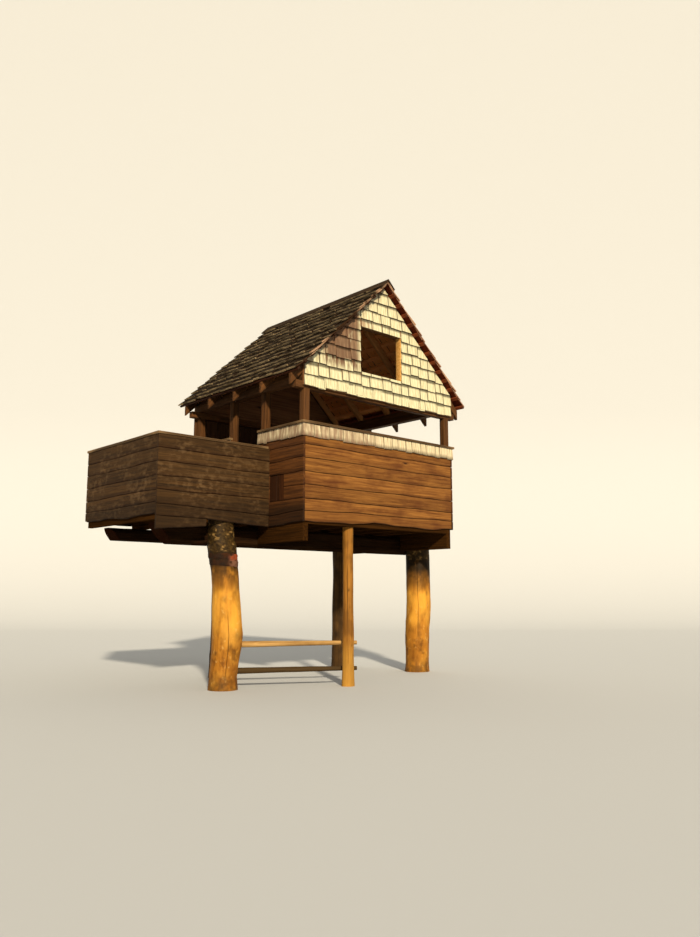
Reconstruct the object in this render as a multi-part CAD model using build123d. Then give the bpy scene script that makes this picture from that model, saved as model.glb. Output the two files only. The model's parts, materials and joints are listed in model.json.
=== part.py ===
# Tree house on log posts: a small shingled gable cabin with open sides above a
# board parapet, and a balcony on its left. Millimetres, +Z up. The ground is z = 0
# and the origin lies on it, below the middle of the whole outline.
import math
import os

from build123d import *

os.makedirs("parts", exist_ok=True)

# Driving dimensions of the cabin: X runs along the gable wall, Y into the cabin,
# with y = 0 at the front face of the gable. The heights are stacked from the floor.
cabin_width = 2800.0
cabin_depth = 2600.0
floor_top = 2240.0
skirt_drop = 180.0
parapet_height = 1040.0
open_band_height = 457.0
wall_rise = 293.0
gable_rise = 1336.0

# Timber sections.
floor_thickness = 40.0
joist_depth = 200.0
joist_thickness = 60.0
joist_end_gap = 60.0
joist_pitch = 460.0
bearer_thickness = 80.0
bearer_drop = 210.0
frame_timber = 90.0
board_thickness = 30.0
board_gap = 5.0
butt_gap = 2.0
sheathing_thickness = 25.0
cap_thickness = 30.0
cap_overhang = 12.0
stud_size = 60.0
stud_offset = 450.0
tie_drop = 37.0
tie_end_gap = 6.0
plate_depth = 160.0
eaves_board_gap = 7.0
lining_thickness = 20.0
lining_depth = 90.0
back_rail_height = 660.0

# Gable window, cut above the gable's foot.
window_width = 720.0
window_height = 610.0
window_centre = -60.0
sill_rise = 343.0

# Wall shingles: courses on the gables, and a single course under the parapet's cap.
shingle_exposure = 140.0
shingle_butt = 20.0
shingle_tip = 6.0
band_height = 160.0
band_thickness = 18.0

# Roof: rafters, battens, split shakes and the cap on the ridge.
verge_overhang = 100.0
eaves_overhang = 180.0
rafter_depth = 100.0
rafter_thickness = 50.0
rafter_pairs = 5
ridge_board_thickness = 30.0
ridge_board_depth = 150.0
batten_width = 50.0
batten_thickness = 25.0
batten_setback = 12.0
shake_exposure = 165.0
shake_butt = 47.0
shake_tip = 25.0
ridge_cap_width = 110.0
ridge_cap_thickness = 20.0

# Balcony on the left of the cabin.
balcony_reach = 1600.0
balcony_front = 705.0
balcony_parapet_height = 790.0
balcony_skirt_drop = 170.0
low_skirt_height = 150.0
low_skirt_gap = 51.0
balcony_post_size = 80.0
balcony_cap_width = 120.0
balcony_joist_offset = 290.0

# Doorway from the cabin to the balcony, behind the balcony's front boards.
door_offset = 245.0
door_width = 650.0

# Log posts: where they stand, the flats that the drawknife left round them, and their radii
# from the foot to the head at the levels given.
post_setback = 170.0
left_post_offset = 550.0
left_post_lean = 75.0
right_post_offset = 150.0
back_post_side_inset = 270.0
back_post_inset = 480.0
post_flat_count = 32
front_post_radii = (190.0, 175.0, 170.0, 164.0)
back_post_radii = (170.0, 158.0, 152.0, 148.0)
trunk_levels = (0.0, 0.3, 0.65, 1.0)
trunk_leans = (0.0, 0.12, 0.45, 1.0)
post_head_rise = 25.0
prop_inset = 850.0
prop_setback = 115.0
prop_radius = 75.0
prop_head_radius = 67.5
prop_flat_count = 16

# Log beams, lying in notches in the backs of the posts.
beam_flat_count = 32
beam_radius = 145.0
beam_girths = ((0.0, 1.0), (0.4, 1.05), (0.75, 1.0), (1.0, 0.97))
beam_depth = 255.0
beam_notch = 85.0
beam_hewn_face = 20.0
beam_clearance = 20.0
beam_inset = 170.0
beam_reach = 380.0
beam_splay = 210.0

# Low rails between the left post and the prop, and the lashing round the left post.
rail_radius = 32.0
rail_heights = (210.0, 530.0)
rail_inset = 100.0
rail_tail = 230.0
seat_clearance = 0.3
strap_width = 75.0
strap_thickness = 9.0
strap_foot = 1490.0
strap_gap = 6.0

# Waney-edged boards, from the lowest up, and the two waves in the edge of the tree they were cut from.
wall_board_heights = (125.0, 125.0, 170.0, 170.0, 170.0, 165.0, 145.0, 120.0)
balcony_board_heights = (130.0, 150.0, 165.0, 165.0, 160.0, 160.0)
board_swing = 7.0
foot_swing = 22.0
long_wave = 1634.0
short_wave = 723.0
long_wave_share = 0.6
long_wave_turn = 1.7
short_wave_turn = 2.9
edge_pitch = 190.0
back_board_count = 14

# Each wall's first edge number: neighbouring boards share an edge, and no two edges are alike.
front_edges = 1
right_edges = 4
left_edges = 7
low_skirt_edges = 13
balcony_edges = 14
balcony_side_edges = 17
balcony_back_edges = 20

# Two upright planks in the wall beside the balcony, level with its third and fourth boards.
nook_front = 400.0
skirt_board_count = 2
nook_board_count = 2
nook_plank_count = 2
nook_plank_thickness = 22.0
nook_plank_gap = 6.0

# Places that follow from the sizes above.
parapet_top = floor_top + parapet_height
cladding_foot = parapet_top + open_band_height
eaves_height = cladding_foot + wall_rise
gable_peak = eaves_height + gable_rise
skirt_foot = floor_top - skirt_drop
window_left = window_centre - window_width / 2
window_right = window_centre + window_width / 2
window_sill = cladding_foot + sill_rise
window_head = window_sill + window_height
half_width = cabin_width / 2
floor_under = floor_top - floor_thickness
beam_top = floor_under - joist_depth
beam_under = beam_top - beam_depth
frame_front = shingle_butt + sheathing_thickness
frame_back = cabin_depth - frame_front
frame_side = half_width - board_thickness
board_front = frame_front - board_thickness
board_back = frame_back + board_thickness
tie_under = cladding_foot - tie_drop
tie_top = tie_under + frame_timber
plate_top = tie_top + plate_depth
parapet_board_top = parapet_top - cap_thickness
balcony_left = -half_width - balcony_reach
balcony_back = board_back
deck_front = balcony_front + board_thickness
deck_left = balcony_left + board_thickness
deck_back = balcony_back - board_thickness
balcony_skirt_foot = floor_top - balcony_skirt_drop
balcony_parapet_top = floor_top + balcony_parapet_height
balcony_board_top = balcony_parapet_top - cap_thickness
door_near = balcony_front + door_offset
door_far = door_near + door_width
post_line = deck_front + post_setback
left_post_foot = -half_width - left_post_offset
left_post_head = left_post_foot - left_post_lean
right_post_x = half_width + right_post_offset
back_post_offset = half_width - back_post_side_inset
back_post_line = cabin_depth - back_post_inset
prop_x = -half_width + prop_inset
prop_y = frame_front + prop_setback
beam_left_end = balcony_left + beam_inset
beam_right_end = half_width + beam_reach
beam_swell = max(girth for share, girth in beam_girths)
slope = gable_rise / half_width
pitch = math.atan(slope)
eaves_x = half_width + eaves_overhang
slope_length = eaves_x / math.cos(pitch)
rafter_drop = rafter_depth / math.cos(pitch)
roof_front = -verge_overhang
roof_back = cabin_depth + verge_overhang
tie_end = (gable_peak - rafter_drop - tie_end_gap - tie_top) / slope
eaves_board_top = eaves_height - rafter_drop - eaves_board_gap

outline_left = balcony_left - cap_overhang
outline_right = beam_right_end
origin_shift = Vector(-(outline_left + outline_right) / 2, -(roof_front + roof_back) / 2, 0)


def save(name, *shapes):
    solids = [solid for shape in shapes for solid in shape.solids()]
    whole = solids[0] if len(solids) == 1 else Compound(solids)
    export_step(Pos(*origin_shift) * whole, f"parts/{name}.step")


def block(x_low, x_high, y_low, y_high, z_low, z_high):
    size = (x_high - x_low, y_high - y_low, z_high - z_low)
    middle = ((x_low + x_high) / 2, (y_low + y_high) / 2, (z_low + z_high) / 2)
    return Pos(*middle) * Box(*size)


def along_y(corners, y_low, y_high):
    section = make_face(Polyline(*corners, close=True))
    plane = Plane((0, y_high, 0), x_dir=(1, 0, 0), z_dir=(0, -1, 0))
    return extrude(plane * section, y_high - y_low)


def save_sides(name, right_shape):
    save("left_" + name, right_shape.mirror(Plane.YZ))
    save("right_" + name, right_shape)


# Log posts: slightly crooked tapering trunks, notched at the back for the beam.
def trunk(foot_x, head_x, y, height, radii):
    rings = []
    for level, lean, radius in zip(trunk_levels, trunk_leans, radii):
        place = Pos(foot_x + lean * (head_x - foot_x), y, level * height)
        rings.append(place * RegularPolygon(radius, post_flat_count))
    return loft(rings, ruled=True)


def notch_face(y_post, radii):
    return y_post + radii[-1] - beam_notch


def notched(log, x, y_post, radii, height):
    reach = 2 * radii[0]
    face = notch_face(y_post, radii)
    return log - block(x - reach, x + reach, face, y_post + reach, beam_under, height + butt_gap)


left_trunk = trunk(left_post_foot, left_post_head, post_line, floor_under, front_post_radii)
right_head = beam_top + post_head_rise
right_trunk = trunk(right_post_x, right_post_x, post_line, right_head, front_post_radii)
save("left_front_post", notched(left_trunk, left_post_head, post_line, front_post_radii, floor_under))
save("right_front_post", notched(right_trunk, right_post_x, post_line, front_post_radii, right_head))
back_posts = []
for x in (-back_post_offset, back_post_offset):
    back_trunk = trunk(x, x, back_post_line, beam_top, back_post_radii)
    back_posts.append(notched(back_trunk, x, back_post_line, back_post_radii, beam_top))
save("back_posts", *back_posts)

prop_foot_ring = Pos(prop_x, prop_y, 0) * RegularPolygon(prop_radius, prop_flat_count)
prop_head_ring = Pos(prop_x, prop_y, beam_top) * RegularPolygon(prop_head_radius, prop_flat_count)
save("prop_pole", loft([prop_foot_ring, prop_head_ring], ruled=True))


# Log beams, hewn flat above, below and on the face that lies in the notches.
def log_beam(face):
    centre_y = face + beam_radius - beam_hewn_face
    centre_z = (beam_top + beam_under) / 2
    length = beam_right_end - beam_left_end
    rings = []
    for share, girth in beam_girths:
        centre = (beam_left_end + share * length, centre_y, centre_z)
        plane = Plane(centre, x_dir=(0, 1, 0), z_dir=(1, 0, 0))
        rings.append(plane * RegularPolygon(girth * beam_radius, beam_flat_count))
    behind = face + 3 * beam_radius
    hewn = block(beam_left_end, beam_right_end, face, behind, beam_under, beam_top)
    splay_corners = (
        (beam_left_end - beam_splay, beam_under - beam_depth),
        (beam_left_end + 2 * beam_splay, beam_under - beam_depth),
        (beam_left_end, beam_top),
        (beam_left_end - beam_splay, beam_top),
    )
    return (loft(rings, ruled=True) & hewn) - along_y(splay_corners, face - beam_radius, behind)


front_beam_face = notch_face(post_line, front_post_radii)
back_beam_face = notch_face(back_post_line, back_post_radii)
save("front_log_beam", log_beam(front_beam_face))
save("back_log_beam", log_beam(back_beam_face))


# Bearers under the side walls, notched over the beams, with the rims and joists between.
bearer_inner = frame_side - bearer_thickness
bearer = block(bearer_inner, frame_side, frame_front, frame_back, beam_top - bearer_drop, floor_under)
for face in (front_beam_face, back_beam_face):
    beam_back = face - beam_hewn_face + (1 + beam_swell) * beam_radius
    bearer -= block(0, half_width, face - board_gap, beam_back + beam_clearance, 0, beam_top)
save("side_bearers", bearer.mirror(Plane.YZ), bearer)
rim_back = frame_front + joist_thickness
rim_joists = []
for y_low in (frame_front, frame_back - joist_thickness):
    y_high = y_low + joist_thickness
    rim_joists.append(block(-bearer_inner, bearer_inner, y_low, y_high, beam_top, floor_under))
save("rim_joists", *rim_joists)


def joists(places, y_low, y_high):
    half = joist_thickness / 2
    return [block(x - half, x + half, y_low, y_high, beam_top, floor_under) for x in places]


joist_room = bearer_inner - joist_thickness / 2 - joist_end_gap
first_step = -math.floor((joist_room + prop_x) / joist_pitch)
last_step = math.floor((joist_room - prop_x) / joist_pitch)
joist_places = [prop_x + step * joist_pitch for step in range(first_step, last_step + 1)]
save("cabin_joists", *joists(joist_places, rim_back, frame_back - joist_thickness))
balcony_places = (
    deck_left + joist_thickness / 2,
    left_post_head - balcony_joist_offset,
    left_post_head + balcony_joist_offset,
)
save("balcony_joists", *joists(balcony_places, deck_front, deck_back))
save("cabin_floor", block(-frame_side, frame_side, frame_front, frame_back, floor_under, floor_top))
save("balcony_floor", block(deck_left, -frame_side, deck_front, deck_back, floor_under, floor_top))


# Low rails between the left post and the prop, scribed to the post.
def low_rail(height):
    start_x = left_post_foot
    run = Vector(prop_x - start_x, prop_y - post_line, 0).normalized()
    behind = Vector(-run.Y, run.X, 0)
    prop_girth = prop_radius - (prop_radius - prop_head_radius) * height / beam_top
    prop_reach = prop_girth + rail_radius + seat_clearance
    start = Vector(start_x, post_line, height) + behind * rail_inset
    passing = Vector(prop_x, prop_y, height) + behind * prop_reach
    length = (passing - start).length + rail_tail
    rail = extrude(Plane(start, z_dir=passing - start) * Circle(rail_radius), length)
    return rail - left_trunk


save("low_rails", *[low_rail(height) for height in rail_heights])


# Lashing straps round the left post.
def strap_turn(foot):
    low, high = trunk_levels[2:]
    low_lean, high_lean = trunk_leans[2:]
    rise = (foot / floor_under - low) / (high - low)
    lean = low_lean + rise * (high_lean - low_lean)
    outer = extrude(RegularPolygon(front_post_radii[2] + strap_thickness, post_flat_count), strap_width)
    return Pos(left_post_foot - lean * left_post_lean, post_line, foot) * outer - left_trunk


save("post_straps", strap_turn(strap_foot), strap_turn(strap_foot + strap_width + strap_gap))


# Waney-edged boards: the lower edge of each follows the edge of the tree.
def tree_edge(number, swing):
    def height(u):
        turns = math.tau * u
        long_part = math.sin(turns / long_wave + long_wave_turn * number)
        short_part = math.sin(turns / short_wave + short_wave_turn * number)
        return swing * (long_wave_share * long_part + (1 - long_wave_share) * short_part)
    return height


def level_edge(u):
    return 0.0


def board_seams(foot, head, heights):
    scale = (head - foot) / sum(heights)
    return [foot + scale * sum(heights[:row]) for row in range(len(heights) + 1)]


def waney_board(plane, u_low, u_high, z_low, z_high, low_edge, high_edge):
    steps = max(3, round((u_high - u_low) / edge_pitch))
    stations = [u_low + (u_high - u_low) * step / steps for step in range(steps + 1)]
    lower = [(u, z_low + low_edge(u)) for u in stations]
    upper = [(u, z_high + high_edge(u)) for u in reversed(stations)]
    outline = make_face(Polyline(*lower, *upper, close=True))
    return extrude(plane * outline, board_thickness)


def board_wall(plane, u_low, u_high, seams, first_edge, foot_edge=None, capped=True):
    boards = []
    rows = len(seams) - 1
    for row in range(rows):
        low_edge = tree_edge(first_edge + row, board_swing)
        if row == 0 and foot_edge:
            low_edge = foot_edge
        top = seams[row + 1] - board_gap
        high_edge = tree_edge(first_edge + row + 1, board_swing)
        if row == rows - 1 and capped:
            high_edge = level_edge
            top = seams[row + 1]
        boards.append(waney_board(plane, u_low, u_high, seams[row], top, low_edge, high_edge))
    return boards


front_plane = Plane((0, frame_front, 0), x_dir=(1, 0, 0), z_dir=(0, -1, 0))
left_plane = Plane((-frame_side, 0, 0), x_dir=(0, -1, 0), z_dir=(-1, 0, 0))
right_plane = Plane((frame_side, 0, 0), x_dir=(0, 1, 0), z_dir=(1, 0, 0))
front_foot = tree_edge(front_edges, foot_swing)
side_foot = tree_edge(right_edges, foot_swing)
wall_seams = board_seams(skirt_foot, parapet_board_top, wall_board_heights)
front_end = frame_side - board_gap
front_boards = board_wall(front_plane, -front_end, front_end, wall_seams, front_edges, front_foot)
right_boards = board_wall(right_plane, board_front, frame_back, wall_seams, right_edges, side_foot)
save("front_parapet_boards", *front_boards)
save("right_parapet_boards", *right_boards)

# The left wall: full boards beside the corner, upright planks in the nook by the balcony.
nook_edges = left_edges + skirt_board_count
high_edges = nook_edges + nook_board_count
nook_low_seam = skirt_board_count
nook_high_seam = skirt_board_count + nook_board_count
skirt_seams = wall_seams[:nook_low_seam + 1]
nook_seams = wall_seams[nook_low_seam:nook_high_seam + 1]
high_seams = wall_seams[nook_high_seam:]
inner_seams = [floor_top] + nook_seams[1:]
far_seams = [floor_top] + wall_seams[nook_low_seam + 1:]
skirt_end = board_gap - balcony_front
left_boards = board_wall(left_plane, skirt_end, -board_front, skirt_seams, left_edges, side_foot, False)
left_boards += board_wall(left_plane, -nook_front, -board_front, nook_seams, nook_edges, None, False)
left_boards += board_wall(left_plane, -door_near, -board_front, high_seams, high_edges)
left_boards += board_wall(left_plane, -door_near, -balcony_front, inner_seams, nook_edges, level_edge, False)
left_boards += board_wall(left_plane, -frame_back, -door_far, far_seams, nook_edges, level_edge)
save("left_parapet_boards", *left_boards)
plank_low = nook_seams[0] + board_swing
plank_high = nook_seams[-1] - board_gap - board_swing
plank_room = balcony_front - nook_front - (nook_plank_count + 1) * nook_plank_gap
plank_width = plank_room / nook_plank_count
plank_face = -frame_side - nook_plank_thickness
nook_planks = []
for index in range(nook_plank_count):
    y_low = nook_front + nook_plank_gap + index * (plank_width + nook_plank_gap)
    nook_planks.append(block(plank_face, -frame_side, y_low, y_low + plank_width, plank_low, plank_high))
save("nook_planks", *nook_planks)

# Posts and studs of the wall frame, and the rails that carry the planks and the back boards.
post_inner = frame_side - frame_timber
rail_inner = frame_side - frame_timber / 2
nook_rail = block(-frame_side, -rail_inner, frame_front + frame_timber, door_near - frame_timber,
                  nook_seams[-1] - frame_timber, nook_seams[-1])
rail_low = floor_top + back_rail_height
back_rail = block(-post_inner, post_inner, frame_back - frame_timber / 2, frame_back,
                  rail_low, rail_low + frame_timber)
save("wall_rails", back_rail, nook_rail)
corner_posts = []
for x in (-frame_side, post_inner):
    for y in (frame_front, frame_back - frame_timber):
        corner_posts.append(block(x, x + frame_timber, y, y + frame_timber, floor_top, tie_under))
save("corner_posts", *corner_posts)
door_posts = []
for y_low in (door_near - frame_timber, door_far):
    door_posts.append(block(-frame_side, -post_inner, y_low, y_low + frame_timber, floor_top, tie_top))
save("door_posts", *door_posts)
half_stud = stud_size / 2
stud_back = frame_front + stud_size
mid_y = (frame_front + frame_back) / 2
stud_head = parapet_board_top
wall_studs = [
    block(-stud_offset - half_stud, half_stud - stud_offset, frame_front, stud_back, floor_top, stud_head),
    block(stud_offset - half_stud, stud_offset + half_stud, frame_front, stud_back, floor_top, stud_head),
    block(frame_side - stud_size, frame_side, mid_y - half_stud, mid_y + half_stud, floor_top, stud_head),
]
save("wall_studs", *wall_studs)

# The shingle course under the cap, and the caps.
band_foot = parapet_board_top - band_height
band_face = board_front - band_thickness
side_band_face = half_width + band_thickness
cap_front = band_face - cap_overhang
cap_side = side_band_face + cap_overhang
bands = [
    block(-side_band_face, side_band_face, band_face, board_front - butt_gap, band_foot, parapet_board_top),
    block(half_width, side_band_face, board_front, frame_back, band_foot, parapet_board_top),
]
caps = [
    block(-cap_side, cap_side, cap_front, frame_front - butt_gap, parapet_board_top, parapet_top),
    block(frame_side, cap_side, frame_front, frame_back, parapet_board_top, parapet_top),
]
for y_low, y_high in ((frame_front, door_near), (door_far, frame_back)):
    band_start = max(board_front, y_low)
    bands.append(block(-side_band_face, -half_width, band_start, y_high, band_foot, parapet_board_top))
    caps.append(block(-cap_side, -frame_side, y_low, y_high, parapet_board_top, parapet_top))
save("parapet_shingles", *bands)
save("cap_rails", *caps)

# Back wall of upright boards.
back_board_pitch = cabin_width / back_board_count
back_wall_top = cladding_foot - board_gap
uprights = []
for index in range(back_board_count):
    x_low = -half_width + index * back_board_pitch
    x_high = x_low + back_board_pitch - board_gap
    uprights.append(block(x_low, x_high, frame_back, board_back, skirt_foot, back_wall_top))
save("back_wall_boards", *uprights)

# Tie beams, wall plates and the boards under the eaves.
tie_beams = []
for y_low in (frame_front, frame_back - frame_timber):
    tie_beams.append(block(-tie_end, tie_end, y_low, y_low + frame_timber, tie_under, tie_top))
save("tie_beams", *tie_beams)
plate = block(post_inner, frame_side, frame_front, frame_back, tie_top, plate_top)
eaves_board = block(frame_side, half_width, frame_front, frame_back, tie_top, eaves_board_top)
save("wall_plates", plate.mirror(Plane.YZ), plate)
save("eaves_boards", eaves_board.mirror(Plane.YZ), eaves_board)

# Gable walls: sheathing boards and shingles, with the window cut through the front one.
gable_outline = (
    (-half_width, cladding_foot),
    (half_width, cladding_foot),
    (half_width, eaves_height),
    (0, gable_peak),
    (-half_width, eaves_height),
)


def gable_sheet(y_low, y_high):
    return along_y(gable_outline, y_low, y_high)


def shingle_courses(face):
    courses = math.ceil((gable_peak - cladding_foot) / shingle_exposure)
    below = cladding_foot - butt_gap
    corners = [(0.0, below), (-shingle_butt, below)]
    for course in range(courses):
        height = cladding_foot + course * shingle_exposure
        corners.append((-shingle_butt, height))
        corners.append((-shingle_tip, height + shingle_exposure))
    corners.append((0.0, cladding_foot + courses * shingle_exposure))
    profile = make_face(Polyline(*corners, close=True))
    plane = Plane((-half_width, face, 0), x_dir=(0, 1, 0), z_dir=(1, 0, 0))
    return extrude(plane * profile, cabin_width)


lining_left = window_left - lining_thickness
lining_right = window_right + lining_thickness
lining_foot = window_sill - lining_thickness
lining_head = window_head + lining_thickness
through = 2 * cabin_depth
shingle_opening = block(window_left, window_right, -through, cabin_depth / 2, window_sill, window_head)
lining_opening = block(lining_left, lining_right, -through, cabin_depth / 2, lining_foot, lining_head)
save("front_gable_sheathing", gable_sheet(shingle_butt, frame_front) - lining_opening)
front_courses = shingle_courses(shingle_butt) & gable_sheet(-shingle_butt, shingle_butt)
save("front_gable_shingles", front_courses - shingle_opening)
save("back_gable_sheathing", gable_sheet(frame_back, frame_back + sheathing_thickness))
mirror_plane = Plane((0, cabin_depth / 2, 0), z_dir=(0, 1, 0))
save("back_gable_shingles", front_courses.mirror(mirror_plane))
lining_back = shingle_butt + lining_depth
lining_block = block(lining_left, lining_right, shingle_butt, lining_back, lining_foot, lining_head)
save("window_lining", lining_block - shingle_opening)


# Roof frame.
def roof_z(x, above=0.0):
    return gable_peak - slope * x + above / math.cos(pitch)


def roof_point(down, above):
    x = down * math.cos(pitch) + above * math.sin(pitch)
    return (x, roof_z(x, above))


def stud_under_rafter(x_low, x_high):
    corners = (
        (x_low, tie_top),
        (x_high, tie_top),
        (x_high, roof_z(abs(x_high)) - rafter_drop),
        (x_low, roof_z(abs(x_low)) - rafter_drop),
    )
    return along_y(corners, frame_front, frame_front + stud_size)


left_window_stud = stud_under_rafter(lining_left - stud_size, lining_left)
right_window_stud = stud_under_rafter(lining_right, lining_right + stud_size)
save("window_studs", left_window_stud, right_window_stud)
ridge_half = ridge_board_thickness / 2
rafter_corners = (
    (ridge_half, roof_z(ridge_half)),
    (eaves_x, roof_z(eaves_x)),
    (eaves_x, roof_z(eaves_x) - rafter_drop),
    (ridge_half, roof_z(ridge_half) - rafter_drop),
)
rafter_span = frame_back - frame_front - rafter_thickness
rafters = []
for index in range(rafter_pairs):
    y_low = frame_front + index * rafter_span / (rafter_pairs - 1)
    rafters.append(along_y(rafter_corners, y_low, y_low + rafter_thickness) - plate)
save_sides("rafters", Compound([solid for rafter in rafters for solid in rafter.solids()]))
ridge_top = roof_z(ridge_half)
ridge_under = ridge_top - ridge_board_depth
save("ridge_board", block(-ridge_half, ridge_half, frame_front, frame_back, ridge_under, ridge_top))

# Battens under each course of shakes, the shakes as stepped courses, and the ridge cap.
course_count = math.floor((slope_length - ridge_cap_width) / shake_exposure)
butts = [slope_length - index * shake_exposure for index in range(course_count + 1)]
battens = []
for butt in butts:
    down_low = butt - batten_setback - batten_width
    corners = (roof_point(down_low, 0), roof_point(butt - batten_setback, 0),
               roof_point(butt - batten_setback, batten_thickness), roof_point(down_low, batten_thickness))
    battens.append(along_y(corners, roof_front + batten_setback, roof_back - batten_setback))
save_sides("roof_battens", Compound([solid for batten in battens for solid in batten.solids()]))

tip_height = batten_thickness + shake_tip
shake_corners = [(0, roof_z(0, batten_thickness)), roof_point(slope_length, batten_thickness)]
for index, butt in enumerate(butts):
    last = index == course_count
    shake_corners.append(roof_point(butt, batten_thickness + shake_butt))
    shake_corners.append(roof_point(ridge_cap_width if last else butt - shake_exposure, tip_height))
shake_corners.append((0, roof_z(0, tip_height)))
save_sides("roof_shakes", along_y(shake_corners, roof_front, roof_back))

cap_low = roof_point(ridge_cap_width, tip_height)
cap_high = roof_point(ridge_cap_width, tip_height + ridge_cap_thickness)
ridge_corners = (
    (0, roof_z(0, tip_height)),
    cap_low,
    cap_high,
    (0, roof_z(0, tip_height + ridge_cap_thickness)),
    (-cap_high[0], cap_high[1]),
    (-cap_low[0], cap_low[1]),
)
save("ridge_cap", along_y(ridge_corners, roof_front, roof_back))

# Balcony boards, posts and cap rails.
balcony_plane = Plane((0, deck_front, 0), x_dir=(1, 0, 0), z_dir=(0, -1, 0))
balcony_side_plane = Plane((deck_left, 0, 0), x_dir=(0, -1, 0), z_dir=(-1, 0, 0))
balcony_back_plane = Plane((0, deck_back, 0), x_dir=(-1, 0, 0), z_dir=(0, 1, 0))
balcony_seams = board_seams(balcony_skirt_foot, balcony_board_top, balcony_board_heights)
front_edge = tree_edge(balcony_edges, board_swing)
side_edge = tree_edge(balcony_side_edges, foot_swing)
back_edge = tree_edge(balcony_back_edges, foot_swing)
low_skirt_right = left_post_head - front_post_radii[-1] - low_skirt_gap
low_skirt_top = balcony_skirt_foot - board_gap
low_skirt_edge = tree_edge(low_skirt_edges, board_swing)
low_skirt = waney_board(balcony_plane, balcony_left, low_skirt_right, balcony_skirt_foot - low_skirt_height,
                        low_skirt_top, low_skirt_edge, front_edge)
front_boards = board_wall(balcony_plane, balcony_left, -half_width, balcony_seams, balcony_edges, front_edge)
side_boards = board_wall(balcony_side_plane, -deck_back, -deck_front, balcony_seams,
                         balcony_side_edges, side_edge)
back_boards = board_wall(balcony_back_plane, half_width, -balcony_left, balcony_seams,
                         balcony_back_edges, back_edge)
save("balcony_front_boards", low_skirt, *front_boards)
save("balcony_side_boards", *side_boards)
save("balcony_back_boards", *back_boards)
balcony_posts = []
for x in (deck_left, -half_width - balcony_post_size):
    for y in (deck_front, deck_back - balcony_post_size):
        x_high = x + balcony_post_size
        balcony_posts.append(block(x, x_high, y, y + balcony_post_size, floor_top, balcony_board_top))
save("balcony_posts", *balcony_posts)
cap_outer_front = balcony_front - cap_overhang
cap_outer_back = balcony_back + cap_overhang
cap_outer_left = balcony_left - cap_overhang
cap_inner_front = cap_outer_front + balcony_cap_width
cap_inner_back = cap_outer_back - balcony_cap_width
cap_inner_left = cap_outer_left + balcony_cap_width
cap_wall = -side_band_face - cap_overhang
balcony_caps = (
    block(cap_outer_left, cap_wall, cap_outer_front, cap_inner_front, balcony_board_top, balcony_parapet_top),
    block(cap_outer_left, cap_inner_left, cap_inner_front + butt_gap, cap_inner_back - butt_gap,
          balcony_board_top, balcony_parapet_top),
    block(cap_outer_left, cap_wall, cap_inner_back, cap_outer_back, balcony_board_top, balcony_parapet_top),
)
save("balcony_cap_rails", *balcony_caps)
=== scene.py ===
"""Tree house on log posts: the finish of every piece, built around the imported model, in metres."""
import json
import math

import bmesh
import bpy
import numpy as np
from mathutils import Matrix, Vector

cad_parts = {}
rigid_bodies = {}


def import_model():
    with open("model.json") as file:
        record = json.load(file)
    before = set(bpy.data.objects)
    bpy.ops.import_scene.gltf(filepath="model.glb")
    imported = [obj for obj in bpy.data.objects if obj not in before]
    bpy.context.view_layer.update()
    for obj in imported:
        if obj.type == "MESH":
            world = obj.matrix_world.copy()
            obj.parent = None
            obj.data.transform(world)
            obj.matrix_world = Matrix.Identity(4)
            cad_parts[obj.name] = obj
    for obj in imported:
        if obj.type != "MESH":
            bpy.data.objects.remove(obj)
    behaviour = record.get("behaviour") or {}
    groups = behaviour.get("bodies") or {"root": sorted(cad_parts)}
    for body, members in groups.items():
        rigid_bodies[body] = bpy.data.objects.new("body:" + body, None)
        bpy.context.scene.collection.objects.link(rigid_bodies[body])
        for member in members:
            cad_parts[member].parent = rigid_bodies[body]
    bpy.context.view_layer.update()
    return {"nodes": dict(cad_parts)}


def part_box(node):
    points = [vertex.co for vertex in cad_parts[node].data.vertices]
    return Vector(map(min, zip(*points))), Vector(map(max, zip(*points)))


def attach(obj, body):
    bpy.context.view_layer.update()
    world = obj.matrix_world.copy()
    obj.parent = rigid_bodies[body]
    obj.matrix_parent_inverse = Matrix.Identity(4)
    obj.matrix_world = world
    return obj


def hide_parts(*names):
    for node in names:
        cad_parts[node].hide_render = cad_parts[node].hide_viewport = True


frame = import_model()
MM = 0.001

# Log posts: peeled softwood logs, drawknifed by hand and weathered gold, with the stubs of their
# branches and long drying cracks left in. Their heads are cut back behind, where the beams lie.


def linear(colour):
    """An sRGB hex colour as linear red, green, blue and alpha."""
    parts = [int(colour[place:place + 2], 16) / 255 for place in (1, 3, 5)]
    return tuple(p / 12.92 if p <= 0.04045 else ((p + 0.055) / 1.055) ** 2.4 for p in parts) + (1.0,)


def add(tree, kind, *values, out=0, stops=(), **named):
    """Adds a node and returns one of its outputs.

    A word after the kind is its operation. Values go to the inputs in use, in order; a capitalised
    name is an input, and any other a setting. Stops are a ramp's places and shades.
    """
    kind, *operation = kind.split()
    whole_name = kind.startswith(("Geometry", "Function", "Node"))
    made = tree.nodes.new(kind if whole_name else "ShaderNode" + kind)
    for word in operation:
        made.operation = word
    for number, (place, shade) in enumerate(stops):
        ramp = made.color_ramp.elements
        if number == 0:
            ramp.remove(ramp[1])
        stop = ramp.new(place) if number else ramp[0]
        stop.position = place
        stop.color = linear(shade) if isinstance(shade, str) else (shade, shade, shade, 1.0)
    for name in filter(str.islower, named):
        setattr(made, name, named[name])
    chosen = list(zip([socket for socket in made.inputs if socket.enabled], values))
    chosen += [(made.inputs[name.replace("_", " ")], named[name]) for name in named if not name.islower()]
    for socket, value in chosen:
        if isinstance(value, bpy.types.NodeSocket):
            tree.links.new(value, socket)
        else:
            socket.default_value = value
    if isinstance(out, str):
        return made.outputs[out]
    ready = [socket for socket in made.outputs if socket.enabled]
    return ready[out] if ready else None


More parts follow.
